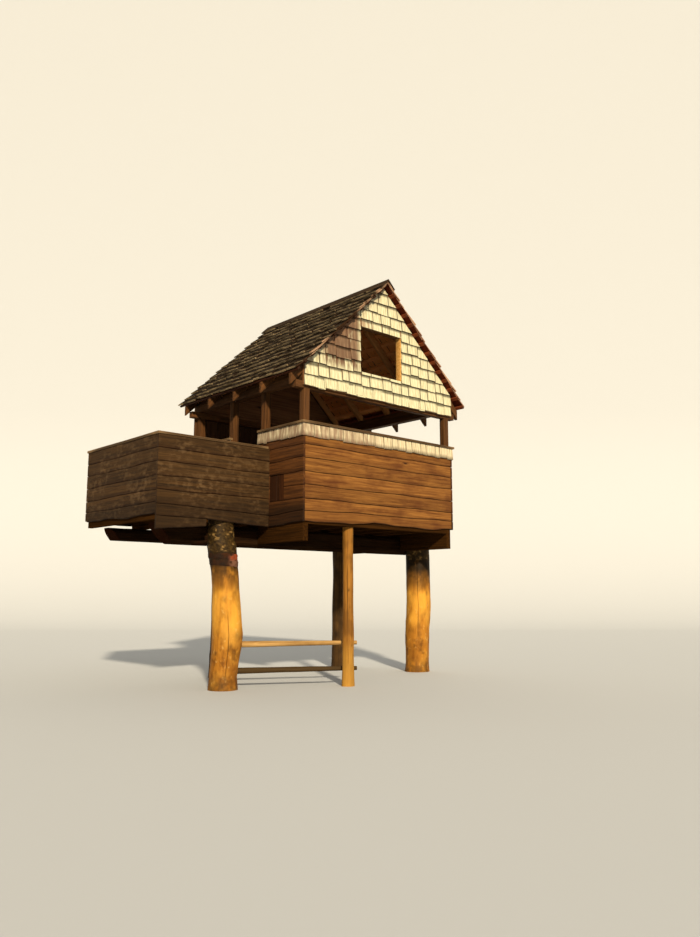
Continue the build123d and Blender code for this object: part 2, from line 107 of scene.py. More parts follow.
class Finish:
    """A finish in the making: its material, its nodes, its colour and the height of its surface."""

    def __init__(self, name):
        self.material = bpy.data.materials.new(name)
        self.material.use_nodes = True
        self.tree = self.material.node_tree
        self.tree.nodes.clear()

    def add(self, kind, *values, **named):
        return add(self.tree, kind, *values, **named)

    def patches(self, scale, low, high, stretch=(1.0, 1.0, 1.0), seed=0.0, detail=3.0):
        """A cloudy share from 0 to 1 over the object, a scale in patches per metre."""
        place = self.add("TexCoord", out="Object")
        moved = self.add("Mapping", place, Location=(seed, seed, seed), Scale=stretch)
        cloud = self.add("TexNoise", moved, scale, detail)
        return self.add("ValToRGB", cloud, stops=[(low, 0.0), (high, 1.0)])

    def between(self, axis, start, end):
        """A share that rises from 0 at start to 1 at end, in metres along an axis of the building."""
        place = self.add("SeparateXYZ", self.add("TexCoord", out="Object"), out=axis)
        return self.add("MapRange", place, start, end, interpolation_type="SMOOTHSTEP")

    def mixed(self, under, over, *shares, how="MIX"):
        """One colour laid over another, where all the shares say."""
        whole, *others = shares
        for share in others:
            whole = self.add("Math MULTIPLY", whole, share)
        pair = [linear(colour) if isinstance(colour, str) else colour for colour in (under, over)]
        return self.add("Mix", whole, *pair, data_type="RGBA", blend_type=how)

    def stain(self, shade, *shares, how="MIX"):
        self.colour = self.mixed(self.colour, shade, *shares, how=how)

    def done(self, roughness=0.8, relief=1.6, sheen=0.12):
        """The material, with its colour and height joined to the surface; a relief in millimetres."""
        bump = self.add("Bump", Height=self.height, Strength=0.9, Distance=relief * MM)
        surface = self.add("BsdfPrincipled", Base_Color=self.colour, Roughness=roughness, Normal=bump,
                           Specular_IOR_Level=sheen)
        self.add("OutputMaterial", surface)
        return self.material


def grained(name, dark, light, tint, blend, streak=26, ring=9, knots=0.0, swing=0.22):
    """A wood whose figure follows each piece's own grain, with a different cut for each piece.

    Streaks and rings are in millimetres, knots a share of the places where one could be, and swing
    is how far the pieces differ in tone. It is returned for its section to stain and finish.
    """
    across = 1 / (streak * MM)
    drift_scale, knot_scale, fibre_scale = (2.2, 9.0, 9.0), (1.7, 4.6, 4.6), (12.0, 260.0, 260.0)
    streak_scale = (across / 28, across, across)
    apart, sway, round_knot = (37.0, 0.0, 0.0), (0.0, 28 * MM, 28 * MM), (0.0, 30 * MM, 30 * MM)
    knot_shade = [(0.0, 1.0), (0.045, 0.85), (0.075, 0.3), (0.16, 0.0)]
    wood = Finish(name)
    place, tone, mark = [wood.add("Attribute", attribute_name=title, out=kind)
                         for title, kind in (("grain", "Vector"), ("tone", "Fac"), ("mark", "Fac"))]
    cut = wood.add("VectorMath MULTIPLY_ADD", tone, apart, place)
    drift = wood.add("TexNoise", wood.add("VectorMath MULTIPLY", cut, drift_scale), 1.0, 2.0, out="Color")
    centred = wood.add("VectorMath SUBTRACT", drift, (0.5, 0.5, 0.5))
    bent = wood.add("VectorMath MULTIPLY_ADD", centred, sway, cut)
    cells = wood.add("TexVoronoi", wood.add("VectorMath MULTIPLY", cut, knot_scale), Scale=1.0,
                     Randomness=0.9).node.outputs
    chosen = wood.add("Math LESS_THAN", cells["Color"], knots)
    knot = wood.add("Math MULTIPLY", wood.add("ValToRGB", cells["Distance"], stops=knot_shade), chosen)
    lean = wood.add("VectorMath MULTIPLY_ADD", knot, round_knot, bent)
    figure = wood.add("TexNoise", wood.add("VectorMath MULTIPLY", lean, streak_scale), 1.0, 4.0, 0.62)
    fibre = wood.add("TexNoise", wood.add("VectorMath MULTIPLY", lean, fibre_scale), 1.0, 3.0, 0.7)
    from_pith = wood.add("VectorMath LENGTH", wood.add("VectorMath MULTIPLY", lean, (0.0, 1.0, 1.0)))
    rings = wood.add("Math SINE", wood.add("Math MULTIPLY", from_pith, math.tau / (ring * MM)))
    mixed = wood.add("Math MULTIPLY_ADD", rings, 0.035, figure)
    mixed = wood.add("Math MULTIPLY_ADD", wood.add("Math SUBTRACT", fibre, 0.5), 0.30, mixed)
    shade = wood.add("ValToRGB", mixed, stops=[(blend[0], dark), (blend[1], light)])
    level = wood.add("MapRange", tone, 0.0, 1.0, 1 - swing, 1 + swing)
    toned = wood.add("VectorMath MULTIPLY", shade, level)
    tint_turn, tint_most = 0.137, 3.2
    wood.colour = wood.mixed(toned, tint, wood.add("Math PINGPONG", tone, tint_turn), tint_most)
    wood.stain("#27130A", wood.add("Math MAXIMUM", knot, mark))
    rough = wood.add("Math MULTIPLY_ADD", fibre, 0.8, figure)
    wood.height = wood.add("Math MULTIPLY_ADD", rings, 0.06, rough)
    return wood


def joined(*parts):
    """Coordinates as points, each coordinate spread to the shape of the others."""
    return np.stack(np.broadcast_arrays(*parts), axis=-1)


def ripple(points, length, seed, waves=7):
    """A smooth random swell from -1 to 1 at each point; length is its usual wavelength each way."""
    draw = np.random.default_rng(seed)
    total = np.zeros(points.shape[:-1])
    scaled = points / np.asarray(length)
    for _ in range(waves):
        heading = draw.normal(size=points.shape[-1])
        heading = heading / np.linalg.norm(heading) * draw.uniform(0.6, 1.5)
        total += np.sin(math.tau * (scaled @ heading) + draw.uniform(0, math.tau))
    return total / math.sqrt(waves) / 1.4


def smoothed(mesh, material, crease=38):
    """Smooth shading, with edges sharper than the crease angle kept."""
    mesh.materials.clear()
    mesh.materials.append(material)
    mesh.polygons.foreach_set("use_smooth", [True] * len(mesh.polygons))
    mesh.set_sharp_from_angle(angle=math.radians(crease))
    return mesh


def bars(name, stacks, material, crease=38):
    """One mesh of closed bars; each bar is rings of points, their grain, its tone and its marks."""
    points, faces, places, tones, marks = [], [], [], [], []
    base = 0
    for rings, grain, tone, mark in stacks:
        count, around = rings.shape[:2]
        index = base + np.arange(count * around).reshape(count, around)
        after = np.roll(index, -1, axis=1)
        walls = joined(index[:-1], after[:-1], after[1:], index[1:]).reshape(-1, 4)
        bar = walls.tolist() + [index[0][::-1].tolist(), index[-1].tolist()]
        spread = rings[0] - rings[0].mean(axis=0)
        turning = np.cross(spread, np.roll(spread, -1, axis=0)).sum(axis=0)
        if turning @ (rings[-1].mean(axis=0) - rings[0].mean(axis=0)) < 0:
            bar = [face[::-1] for face in bar]
        faces += bar
        points.append(rings.reshape(-1, 3))
        places.append(grain.reshape(-1, 3))
        tones.append(np.full(count * around, tone))
        marks.append(np.broadcast_to(mark, (count, around)).ravel())
        base += count * around
    mesh = bpy.data.meshes.new(name)
    mesh.from_pydata(np.concatenate(points).tolist(), [], faces)
    marked(mesh, grain=np.concatenate(places), tone=np.concatenate(tones), mark=np.concatenate(marks))
    return smoothed(mesh, material, crease)


def marked(mesh, **rows):
    """Keeps rows of numbers on a mesh's points, for its material to read."""
    for title, values in rows.items():
        kind, field = ("FLOAT_VECTOR", "vector") if values.ndim > 1 else ("FLOAT", "value")
        stored = mesh.attributes.new(title, kind, "POINT")
        stored.data.foreach_set(field, values.astype(np.float32).ravel())


def settle(mesh, slot, *nodes):
    """The mesh as a piece of the building that stands for nodes; the slot is not used."""
    piece = bpy.data.objects.new(mesh.name, mesh)
    bpy.context.scene.collection.objects.link(piece)
    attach(piece, "root")
    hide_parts(*nodes)
    return piece


def merged(node):
    """A node's surface as a bmesh, with its loose triangles joined."""
    same_point = 0.02 * MM
    shape = bmesh.new()
    shape.from_mesh(frame["nodes"][node].data)
    bmesh.ops.remove_doubles(shape, verts=shape.verts, dist=same_point)
    return shape


def lowest(group):
    return tuple(round(min(vert.co[axis] for vert in group), 4) for axis in range(3))


def islands(shape):
    """The separate solids of a bmesh, each a list of its vertices, in order of place."""
    shape.verts.index_update()
    found, left = [], set(shape.verts)
    while left:
        group = [left.pop()]
        for vert in group:
            near = {edge.other_vert(vert) for edge in vert.link_edges} & left
            left -= near
            group += near
        found.append(sorted(group, key=lambda vert: vert.index))
    return sorted(found, key=lowest)


def solids(node):
    """The corner points of each separate solid of a node, in order of place."""
    shape = merged(node)
    found = [np.array([vert.co for vert in group]) for group in islands(shape)]
    shape.free()
    return found


def each(node, make, seed, **how):
    """What a maker gives for each solid of a node, each with a seed of its own."""
    return [make(corners, seed + number, **how) for number, corners in enumerate(solids(node))]


def crack_share(along, start, end, taper=0.12):
    """How open a crack is at places along a log, closing towards both its ends."""
    return np.clip((along - start) / taper, 0, 1) * np.clip((end - along) / taper, 0, 1)


def log_surface(turned, along, radius, knots, cracks, seed, calm=None):
    """How far a peeled log swells at each turned angle and place along it, and its dark marks."""
    unit = joined(np.cos(turned), np.sin(turned), along)
    swell = 5 * MM * ripple(unit, (1.6, 1.6, 0.75), seed)
    swell += 1.3 * MM * ripple(unit, (0.35, 0.35, 0.28), seed + 1)
    mark = np.zeros(turned.shape)
    stub_wide, stub_tall, stub_proud = 30 * MM, 42 * MM, 9 * MM
    for at, level, size in knots:
        apart = (turned - at + math.pi) % math.tau - math.pi
        beside, above = apart * radius / (stub_wide * size), (along - level) / (stub_tall * size)
        near = np.exp(-beside ** 2 - above ** 2)
        swell += stub_proud * size * near * (1 - 0.75 * near ** 3)
        mark = np.maximum(mark, 0.9 * near ** 1.6)
    if calm is not None:
        swell *= 1 - np.exp(-((along - calm) / 0.12) ** 4)
    for column, start, end, depth in cracks:
        width = crack_share(along[:, column], start, end)
        swell[:, column] -= depth * width
        # Cracks are marked dark: painted shade in the recess.
        mark[:, column] = np.maximum(mark[:, column], 0.9 * width ** 0.5)
    return swell, mark


def crack_pull(shape, cracks, along):
    """How far each column of points is drawn towards a crack, as a share of the space between columns."""
    pull = np.zeros(shape)
    for column, start, end, _ in cracks:
        for step, share in ((1, 0.66), (2, 0.3)):
            pull[:, (column + step) % shape[1]] -= share * crack_share(along, start, end)
            pull[:, column - step] += share * crack_share(along, start, end)
    return pull


view_turn = math.radians(-42.38)
sideways = np.array([math.cos(view_turn), math.sin(view_turn), 0])
STRAIGHT = ((0.0, 0.0, 0.0), (2.0, 0.0, 0.0))


def crooked(crook, heights):
    """How far a log leans to the photograph's right at each height, and how much it is stouter."""
    levels, leans, stouter = np.array(crook).T
    return np.interp(heights, levels, leans), np.interp(heights, levels, stouter)


def upright_log(corners, seed, knots=(), cracks=(), around=96, spacing=0.025, calm=None, crook=STRAIGHT,
                raised=0.0):
    """Rings of an upright log, with its line, girth and notch read from the solid.

    A crook adds what the photograph shows and the straighter solid doesn't; raised lifts the notch.
    """
    least_radius, step_gap, twist_most = 20 * MM, 5 * MM, 0.10
    low, high = corners.min(axis=0), corners.max(axis=0)
    middle_y = (low[1] + high[1]) / 2
    rims = []
    for level in np.unique(np.round(corners[:, 2], 4)):
        rim = corners[np.abs(corners[:, 2] - level) < MM]
        radius = np.ptp(rim[:, 0]) / 2
        if radius > least_radius and rim[:, 1].min() < middle_y - radius / 2:
            rims.append((level, rim[:, 0].min() + radius, radius))
    levels, centres, radii = np.array(rims).T
    heights = np.linspace(low[2], high[2], round((high[2] - low[2]) / spacing) + 1)
    face = corners[np.abs(corners[:, 2] - high[2]) < MM][:, 1].max()
    notched = face < middle_y + 0.8 * radii[-1]
    if notched:
        step = corners[np.abs(corners[:, 1] - face) < 0.5 * MM][:, 2].min() + raised
        heights = np.sort(np.append(heights[np.abs(heights - step) > step_gap], (step, step)))
    angles = np.linspace(0, math.tau, around, endpoint=False)
    grid = angles + crack_pull((len(heights), around), cracks, heights) * math.tau / around
    twist = twist_most * np.sin(2.1 * heights + seed)[:, None]
    along = np.repeat(heights[:, None], around, axis=1)
    lean, stouter = crooked(crook, heights)
    radius = (np.interp(heights, levels, radii) + stouter)[:, None]
    swell, mark = log_surface(grid + twist, along, radius, knots, cracks, seed, calm)
    root_flare = 7 * MM * np.exp(-along / 0.09)
    girth = radius + swell + root_flare
    rings = joined(np.interp(heights, levels, centres)[:, None] + girth * np.cos(grid + twist),
                   middle_y + girth * np.sin(grid + twist), along)
    rings += lean[:, None, None] * sideways
    if notched:
        above = np.arange(len(heights)) > np.flatnonzero(heights == step)[0]
        rings[above, :, 1] = np.minimum(rings[above, :, 1], face)
    untwisted = joined(along, girth * np.cos(grid), rings[..., 1] - middle_y)
    return rings, untwisted, (0.37 * seed) % 1, mark


def spread_knots(seed, count, low, high):
    """Branch stubs at random: the angle, the place and the size of each."""
    draw = np.random.default_rng(seed)
    return [(draw.uniform(-math.pi, math.pi), draw.uniform(low, high), draw.uniform(0.6, 1.1))
            for _ in range(count)]


# Golden where painted sunlight falls; dark at the head, with weathering and painted shade from the
# balcony and the leaves; flecked and scraped above the strap; browner lower down, with dirt and
# painted leaf shade at the knee, and bark and painted leaf shade at the foot. Each stain has its
# share, its zones, its patches, their stretch and detail.
strap_low, strap_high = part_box("post_straps")
pine = grained("peeled_pine", "#7C4A12", "#BC822C", "#A06A20", (0.28, 0.68), streak=34, ring=11, knots=0.10,
               swing=0.08)
above_strap = pine.between(2, strap_high.z - 0.01, strap_high.z + 0.04)
painted_sun_band = pine.between(2, 0.62, 0.80), pine.between(2, 1.28, 1.12)
for stain, share, zones, spots, stretch, fineness in (
        ("#CF9C42", 0.5, (), (5.0, 0.48, 0.70, 6.4), (1.0, 1.0, 0.4), 3.0),
        ("#65400F", 0.6, (), (9.0, 0.50, 0.66, 3.1), (1.0, 1.0, 0.6), 3.0),
        ("#6E3E0E", 0.6, [pine.between(2, 0.75, 0.25)], (6.0, 0.34, 0.60, 8.8), (1.0, 1.0, 1.0), 3.0),
        # painted sunlight: a golden band where the sun reaches the posts
        ("#E2A63E", 0.6, painted_sun_band, (7.0, 0.30, 0.58, 5.5), (1.0, 1.0, 0.5), 3.0),
        # weathering and painted shade from the balcony, darkest at the head
        ("#5C3C14", 0.85, [pine.between(2, 1.14, 1.36)], (11.0, 0.26, 0.44, 7.7), (1.0, 1.0, 0.5), 3.0),
        ("#201506", 0.95, [pine.between(2, 1.38, 1.54)], (9.0, 0.18, 0.36, 4.7), (1.0, 1.0, 1.0), 3.0),
        ("#7A6030", 0.4, [above_strap], (30.0, 0.36, 0.84, 2.2), (0.8, 0.8, 1.3), 9.0),
        # painted leaf shadow in dark fingers below the head
        ("#140E04", 0.7, [pine.between(2, 1.25, 1.5)], (14.0, 0.40, 0.66, 12.2), (1.0, 1.0, 1.0), 8.0),
        ("#A4824E", 0.5, [above_strap], (19.0, 0.58, 0.68, 31.4), (0.8, 0.8, 1.0), 9.0),
        ("#E4C078", 0.25, [pine.between(2, 1.2, 1.0)], (20.0, 0.60, 0.72, 5.2), (1.0, 1.0, 0.8), 9.0),
        # dirt and painted leaf shade at the knee
        ("#4E2C0C", 0.6, [pine.between(2, 0.72, 0.56)], (11.0, 0.54, 0.66, 23.6), (1.0, 1.0, 0.7), 3.0),
        # bark and painted leaf shade at the foot
        ("#4A3414", 0.7, [pine.between(2, 0.30, 0.0)], (14.0, 0.3, 0.6, 1.3), (1.0, 1.0, 1.0), 3.0)):
    scale, low, high, seed = spots
    pine.stain(stain, share, *zones, pine.patches(scale, low, high, stretch, seed, fineness))
peeled_log = pine.done(roughness=0.62, relief=1.4)

left_post, = solids("left_front_post")
strap_level = (strap_low.z + strap_high.z) / 2
toward_camera = math.radians(-123)
left_knots = [(toward_camera - 0.12, 1.08, 1.0), (toward_camera + 0.62, 0.66, 1.7),
              (toward_camera + 0.25, 0.52, 1.1), (toward_camera - 0.7, 0.44, 0.8),
              (toward_camera + 1.0, 1.22, 1.2), (2.2, 0.9, 1.1), (0.8, 1.8, 1.0)]
left_cracks = [(66, 0.12, 0.95, 13 * MM), (20, 0.9, 2.1, 12 * MM), (84, 0.05, 1.3, 12 * MM)]
left_crook = [(0.0, 0.038, -0.013), (0.15, 0.038, -0.015), (0.33, 0.057, -0.006), (0.50, 0.077, 0.009),
              (0.66, 0.086, 0.017), (0.80, 0.079, 0.010), (1.0, 0.073, 0.003), (1.2, 0.067, -0.006),
              (1.43, 0.054, -0.003), (1.60, 0.038, 0.006), (1.745, 0.024, 0.016), (1.81, 0.020, -0.004),
              (2.2, 0.016, -0.010)]
left_rings = upright_log(left_post, 3, left_knots, left_cracks, calm=strap_level, crook=left_crook)
settle(bars("left_post_log", [left_rings], peeled_log), "peeled_log", "left_front_post")
right_post, = solids("right_front_post")
right_cracks = [(60, 0.5, 1.7, 12 * MM), (90, 0.1, 1.2, 12 * MM)]
right_crook = [(0.0, 0.004, -0.010), (0.15, 0.006, -0.010), (0.42, 0.008, 0.003), (0.61, 0.014, 0.003),
               (0.79, 0.028, 0.007), (1.0, 0.037, 0.012), (1.3, 0.036, 0.013), (1.745, 0.030, 0.010)]
right_rings = upright_log(right_post, 8, spread_knots(5, 9, 0.2, 1.6), right_cracks, crook=right_crook)
settle(bars("right_post_log", [right_rings], peeled_log), "peeled_log", "right_front_post")
# Back posts: a darker copy of the pine, painted shade.
wood = grained("shaded_pine", "#2C1D0C", "#5A401E", "#453018", (0.28, 0.68), streak=34, ring=11, knots=0.10,
               swing=0.08)
wood.stain("#241A0C", 0.6, wood.patches(8.0, 0.42, 0.66, seed=2.6))
shaded_log = wood.done(relief=1.4)
beam_thinned = 0.10
back_logs = [upright_log(corners, 20 + number, spread_knots(31 + number, 7, 0.2, 1.6),
                         [(11 + 20 * number, 0.3, 1.4, 12 * MM)], around=64, spacing=0.04,
                         raised=beam_thinned)
             for number, corners in enumerate(solids("back_posts"))]
settle(bars("back_post_logs", back_logs, shaded_log), "peeled_log", "back_posts")

# Prop pole and low rails: thinner peeled poles between the left post and the middle of the front.
# The rails are nailed behind the prop and scribed to the post.


def laid_pole(corners, seed, around=28, spacing=0.04):
    """Rings of a tapered pole that lies any way, its axis found from the solid's points."""
    middle = corners.mean(axis=0)
    axis = np.linalg.svd(corners - middle)[2][0]
    axis = axis * np.sign(axis[0])
    reach = (corners - middle) @ axis
    side = np.cross(axis, (0, 0, 1))
    side = side / np.linalg.norm(side)
    rise = np.cross(side, axis)
    far = corners[reach > reach.max() - MM]
    centre = middle + side * ((far - middle) @ side).mean() + rise * ((far - middle) @ rise).mean()
    cut_short = 0.07
    places = np.linspace(reach.min(), reach.max() - cut_short, round(np.ptp(reach) / spacing) + 1)
    turned, along = np.meshgrid(np.linspace(0, math.tau, around, endpoint=False), places)
    radius = np.ptp((far - centre) @ rise) / 2 * np.linspace(1.25, 0.80, len(places))[:, None]
    swell, mark = log_surface(turned, along, radius, [(2.0, 0.1, 0.5), (4.4, -0.35, 0.45)], (), seed)
    girth = radius + 0.35 * swell
    grain = joined(along, girth * np.cos(turned), girth * np.sin(turned))
    return centre + grain @ np.array([axis, side, rise]), grain, (0.29 * seed) % 1, mark


wood = grained("pole_pine", "#6A4214", "#A8762E", "#8A5E28", (0.30, 0.68), streak=22, ring=7, knots=0.15,
               swing=0.10)
wood.stain("#5A3A16", 0.6, wood.patches(8.0, 0.45, 0.62, (1.0, 1.0, 0.5), 5.0))
wood.stain("#BC8E3C", 0.5, wood.between(2, 0.62, 0.30))
pole_wood = wood.done(roughness=0.7, relief=1.0)
wood = grained("rail_pine", "#7A5A30", "#BC9860", "#94744A", (0.30, 0.68), streak=22, ring=7, knots=0.12,
               swing=0.10)
# The lower rail is painted dark: painted shade.
wood.stain("#2A1F10", 0.92, wood.between(2, 0.48, 0.40))
rail_wood = wood.done(roughness=0.75, relief=1.0)
prop, = solids("prop_pole")
prop_knots = [(-2.2, 1.2, 0.55), (-1.6, 0.5, 0.5), (1.0, 0.8, 0.6)]
prop_rings = upright_log(prop, 14, prop_knots, [(30, 0.2, 1.5, 7 * MM)], around=48, spacing=0.03,
                         crook=[(0.0, 0.020, 0.0), (2.0, 0.020, 0.0)])
settle(bars("prop_log", [prop_rings], pole_wood), "peeled_log", "prop_pole")
settle(bars("low_rail_poles", each("low_rails", laid_pole, 40), rail_wood), "peeled_log", "low_rails")

# Lashing: two wraps of dark webbing drawn tight round the left post, each lapping over its own end.
# Woven, so matt; on the side towards the light it carries pale painted highlights and red painted
# sunlight.


def wrap(corners, seed, around=128):
    """A strap's rings: its section carried round the post, thicker where it laps over itself."""
    low, high = corners.min(axis=0), corners.max(axis=0)
    middle = (low + high) / 2
    outer = (high[0] - low[0]) / 2
    thick = outer - np.sqrt(((corners[:, :2] - middle[:2]) ** 2).sum(axis=1)).min()
    lean, stouter = crooked(left_crook, middle[2:])
    middle = middle + lean * sideways
    drawn_in, lap, lap_start, lap_rise, downhill = 0.45, 0.35, 1.2, 0.25, math.radians(137)
    outer = outer - thick * (1 - drawn_in) + stouter[0]
    thick = thick * drawn_in
    turns = np.linspace(lap_start, lap_start + math.tau + lap, around)[:, None]
    lifted = np.clip((turns - lap_start - math.tau + lap_rise) / lap_rise, 0, 1) * thick
    section = [(0.0, 0.04), (0.5, 0.0), (1.1, 0.07), (1.6, 0.18), (1.8, 0.32), (1.65, 0.44), (1.7, 0.54),
               (1.85, 0.66), (1.6, 0.82), (1.1, 0.93), (0.5, 1.0), (0.0, 0.96), (0.0, 0.5)]
    out, rise = np.array(section).T
    folds = joined(np.cos(turns), np.sin(turns), rise)
    slack = 1 + 0.34 * ripple(folds, (0.45, 0.45, 0.8), seed + 7)
    slack += 0.16 * ripple(folds, (0.14, 0.14, 0.5), seed + 9)
    radius = outer - thick + lifted * 0.9 + out * thick * np.where(out > 0.3, slack, 1.0)
    wave = joined(np.cos(turns), np.sin(turns))
    edge = 5 * MM * ripple(wave, (1.1, 1.1), seed) + 2.5 * MM * ripple(wave, (0.35, 0.35), seed + 1)
    slope = 14 * MM * np.cos(turns - downhill)
    z = low[2] + (1.12 * rise - 0.06) * (high[2] - low[2]) + edge * (0.6 + 0.4 * rise) + slope
    rings = joined(middle[0] + radius * np.cos(turns), middle[1] + radius * np.sin(turns), z)
    return rings, joined(turns * outer, z, radius), 0.3 + 0.4 * seed % 1, 0.0


cloth = Finish("faded_webbing")
place = cloth.add("Attribute", attribute_name="grain", out="Vector")
weave, ribs = [cloth.add("TexWave", place, scale, uneven, wave_type="BANDS", bands_direction=way, out="Fac")
               for way, scale, uneven in (("X", 55.0, 0.6), ("Y", 80.0, 1.2))]
cloth.height = cloth.add("Math MULTIPLY", weave, ribs)
cloth.colour = cloth.mixed("#241A14", "#38200F", cloth.patches(11.0, 0.35, 0.65, seed=2.0))
cloth.stain("#A89C94", cloth.height, how="SOFT_LIGHT")
strap_tall = strap_high.z - strap_low.z
# painted sunlight on the side towards the light: pale highlights, and red where the sun reaches
painted_sunlight = (cloth.between(0, strap_low.x + 0.15, strap_low.x + 0.24),
            cloth.patches(15.0, 0.34, 0.52, seed=17.0))
cloth.stain("#805A48", 0.75, *painted_sunlight)
cloth.stain("#8E3C1A", 0.9, *painted_sunlight,
            cloth.between(2, strap_low.z + 0.3 * strap_tall, strap_low.z + 0.6 * strap_tall))
lashing = cloth.done(roughness=0.85, relief=1.2)
settle(bars("post_lashing", each("post_straps", wrap, 3), lashing, crease=60), "lashing", "post_straps")

# Log beams: old logs painted near black for the shade under the deck, hewn flat above, below and in
# front, where they lie in the notches of the posts. The left ends are cut on a splay.


def beam_log(corners, seed, around=84, spacing=0.03, hewn=20 * MM, widest=1.05, raised=0.0):
    """Rings of a hewn beam with a splayed left end; raised is how much of its foot is hewn away."""
    low, high = corners.min(axis=0), corners.max(axis=0)
    adze_bite, belly, twist = 1.6 * MM, 0.05, 0.08
    radius = (high[1] - low[1] + hewn) / (1 + widest)
    centre_y, centre_z = low[1] + radius - hewn, (low[2] + high[2]) / 2
    top_start = corners[corners[:, 2] > high[2] - MM][:, 0].min()
    foot_start = corners[corners[:, 2] < low[2] + MM][:, 0].min()
    length = high[0] - low[0]
    share = np.linspace(0, 1, round(length / spacing) + 1)[:, None]
    along = np.repeat(share * length, around, axis=1)
    cracks = [(8, 0.3, 2.2, 13 * MM), (30, 1.6, 4.4, 12 * MM), (52, 0.6, 3.0, 14 * MM)]
    grid = np.linspace(0, math.tau, around, endpoint=False)
    grid = grid + crack_pull(along.shape, cracks, along[:, 0]) * math.tau / around
    turned = grid + twist * np.sin(1.3 * along)
    swell, mark = log_surface(turned, along, radius, spread_knots(seed, 14, 0.2, length - 0.2), cracks, seed)
    # The splayed left end is painted dark: painted shade.
    mark[0] = 1.0
    girth = radius * (1 + belly * np.sin(math.pi * share) ** 2) + swell
    bite = adze_bite * (1 + ripple(joined(along, np.cos(turned), np.sin(turned)), (0.22, 0.4, 0.4), seed + 5))
    y = np.maximum(centre_y + girth * np.cos(turned), low[1] + bite)
    z = np.clip(centre_z + girth * np.sin(turned), low[2] + raised, high[2] - 0.5 * bite)
    start = foot_start + (top_start - foot_start) * (z - low[2]) / (high[2] - low[2])
    rings = joined(start + share * (high[0] - start), y, z)
    return rings, joined(along, y - centre_y, z - centre_z), (0.41 * seed) % 1, mark


# Near black: painted shade under the deck.
wood = grained("hewn_beam_wood", "#0F0906", "#33200F", "#241810", (0.34, 0.74), streak=30, ring=10,
               knots=0.12, swing=0.08)
wood.stain("#2C2014", 0.4, wood.patches(6.0, 0.45, 0.68, (0.4, 1.0, 1.0), 9.0))
beam_wood = wood.done(roughness=0.9, relief=2.0, sheen=0.0)
for seed, node, raised in ((6, "front_log_beam", 0.0), (9, "back_log_beam", beam_thinned)):
    log, = each(node, beam_log, seed, raised=raised)
    settle(bars(node.replace("log_beam", "beam_log"), [log], beam_wood), "beam_log", node)

# Sawn framing: bearers, joists, rims, studs, posts, plates, ties and rafters, sawn from softwood
# and nailed; each has eased arrises and its own cut of the grain.


def gathered(shapes):
    """Several bmeshes as one."""
    whole = bmesh.new()
    for shape in shapes:
        holder = bpy.data.meshes.new("holder")
        shape.to_mesh(holder)
        whole.from_mesh(holder)
        shape.free()
        bpy.data.meshes.remove(holder)
    return whole


def dressed(name, nodes, material, slot, ease=4):
    """The nodes' own solids with arrises eased by so many millimetres, each with its grain along it."""
    whole = gathered(merged(node) for node in nodes)
    nearly_flat, arris = math.radians(2), 0.5
    bmesh.ops.dissolve_limit(whole, angle_limit=nearly_flat, verts=whole.verts, edges=whole.edges)
    sharp = [edge for edge in whole.edges if len(edge.link_faces) == 2 and edge.calc_face_angle() > arris]
    bmesh.ops.bevel(whole, geom=sharp, offset=ease * MM, segments=2, profile=0.6, affect="EDGES",
                    clamp_overlap=True)
    grain, tone = np.zeros((len(whole.verts), 3)), np.zeros(len(whole.verts))
    draw = np.random.default_rng(len(whole.verts))
    for group in islands(whole):
        numbers = [vert.index for vert in group]
        points = np.array([vert.co for vert in group])
        middle = (points.min(axis=0) + points.max(axis=0)) / 2
        axes = np.linalg.svd(points - points.mean(axis=0))[2]
        pith = draw.uniform((-1.0, 0.06, 0.04), (1.0, 0.14, 0.12))
        grain[numbers] = (points - middle) @ axes.T + pith
        tone[numbers] = draw.uniform()
    mesh = bpy.data.meshes.new(name)
    whole.to_mesh(mesh)
    whole.free()
    marked(mesh, grain=grain, tone=tone)
    return settle(smoothed(mesh, material), slot, *nodes)


house_low, house_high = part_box("front_gable_sheathing")
lining_low, lining_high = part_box("window_lining")
window_wider, window_taller = 44 * MM, 22 * MM


def reopened(piece):
    """Moves the right side and head of the window out to where the photograph has them."""
    window_middle = (lining_low.x + lining_high.x) / 2
    wall_deep, side_reach, head_reach, head_half = 0.15, 0.10, 0.06, 0.50
    for vert in piece.data.vertices:
        x, y, z = vert.co
        in_front = y < house_low.y + wall_deep
        if in_front and abs(x - lining_high.x) < side_reach:
            vert.co.x += window_wider
        if in_front and abs(z - lining_high.z) < head_reach and abs(x - window_middle) < head_half:
            vert.co.z += window_taller


# Bearers and joists are painted dark: painted shade under the deck.
underside_shade_timber = grained("bearer_pine", "#1E1208", "#43290F", "#33200E", (0.34, 0.72), knots=0.12,
                      swing=0.10).done(roughness=0.9, relief=1.4, sheen=0.0)
dressed("floor_framing", ["rim_joists", "cabin_joists", "balcony_joists"], underside_shade_timber, "sawn_timber")
bearers = dressed("bearers", ["side_bearers"], underside_shade_timber, "sawn_timber")
beam_back, bearer_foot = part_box("back_log_beam")[1].y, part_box("side_bearers")[0].z
for vert in bearers.data.vertices:
    if vert.co.y > beam_back - 20 * MM and vert.co.z < bearer_foot + 20 * MM:
        vert.co.z += beam_thinned
sawn_pine = dict(dark="#34200F", light="#694422", tint="#563A22", blend=(0.34, 0.70), streak=24, ring=8,
                 knots=0.16, swing=0.18)
timber = grained("sawn_pine", **sawn_pine).done(roughness=0.75, relief=1.2)
dressed("wall_framing", ["corner_posts", "door_posts", "wall_studs", "wall_rails", "balcony_posts"],
        timber, "sawn_timber")
reopened(dressed("window_framing", ["window_studs"], timber, "sawn_timber"))
dressed("ties_and_plates", ["tie_beams", "wall_plates"], timber, "sawn_timber")

# Floors: sawn pine boards nailed across the joists with a narrow gap between, seen from below and
# through the doorway.


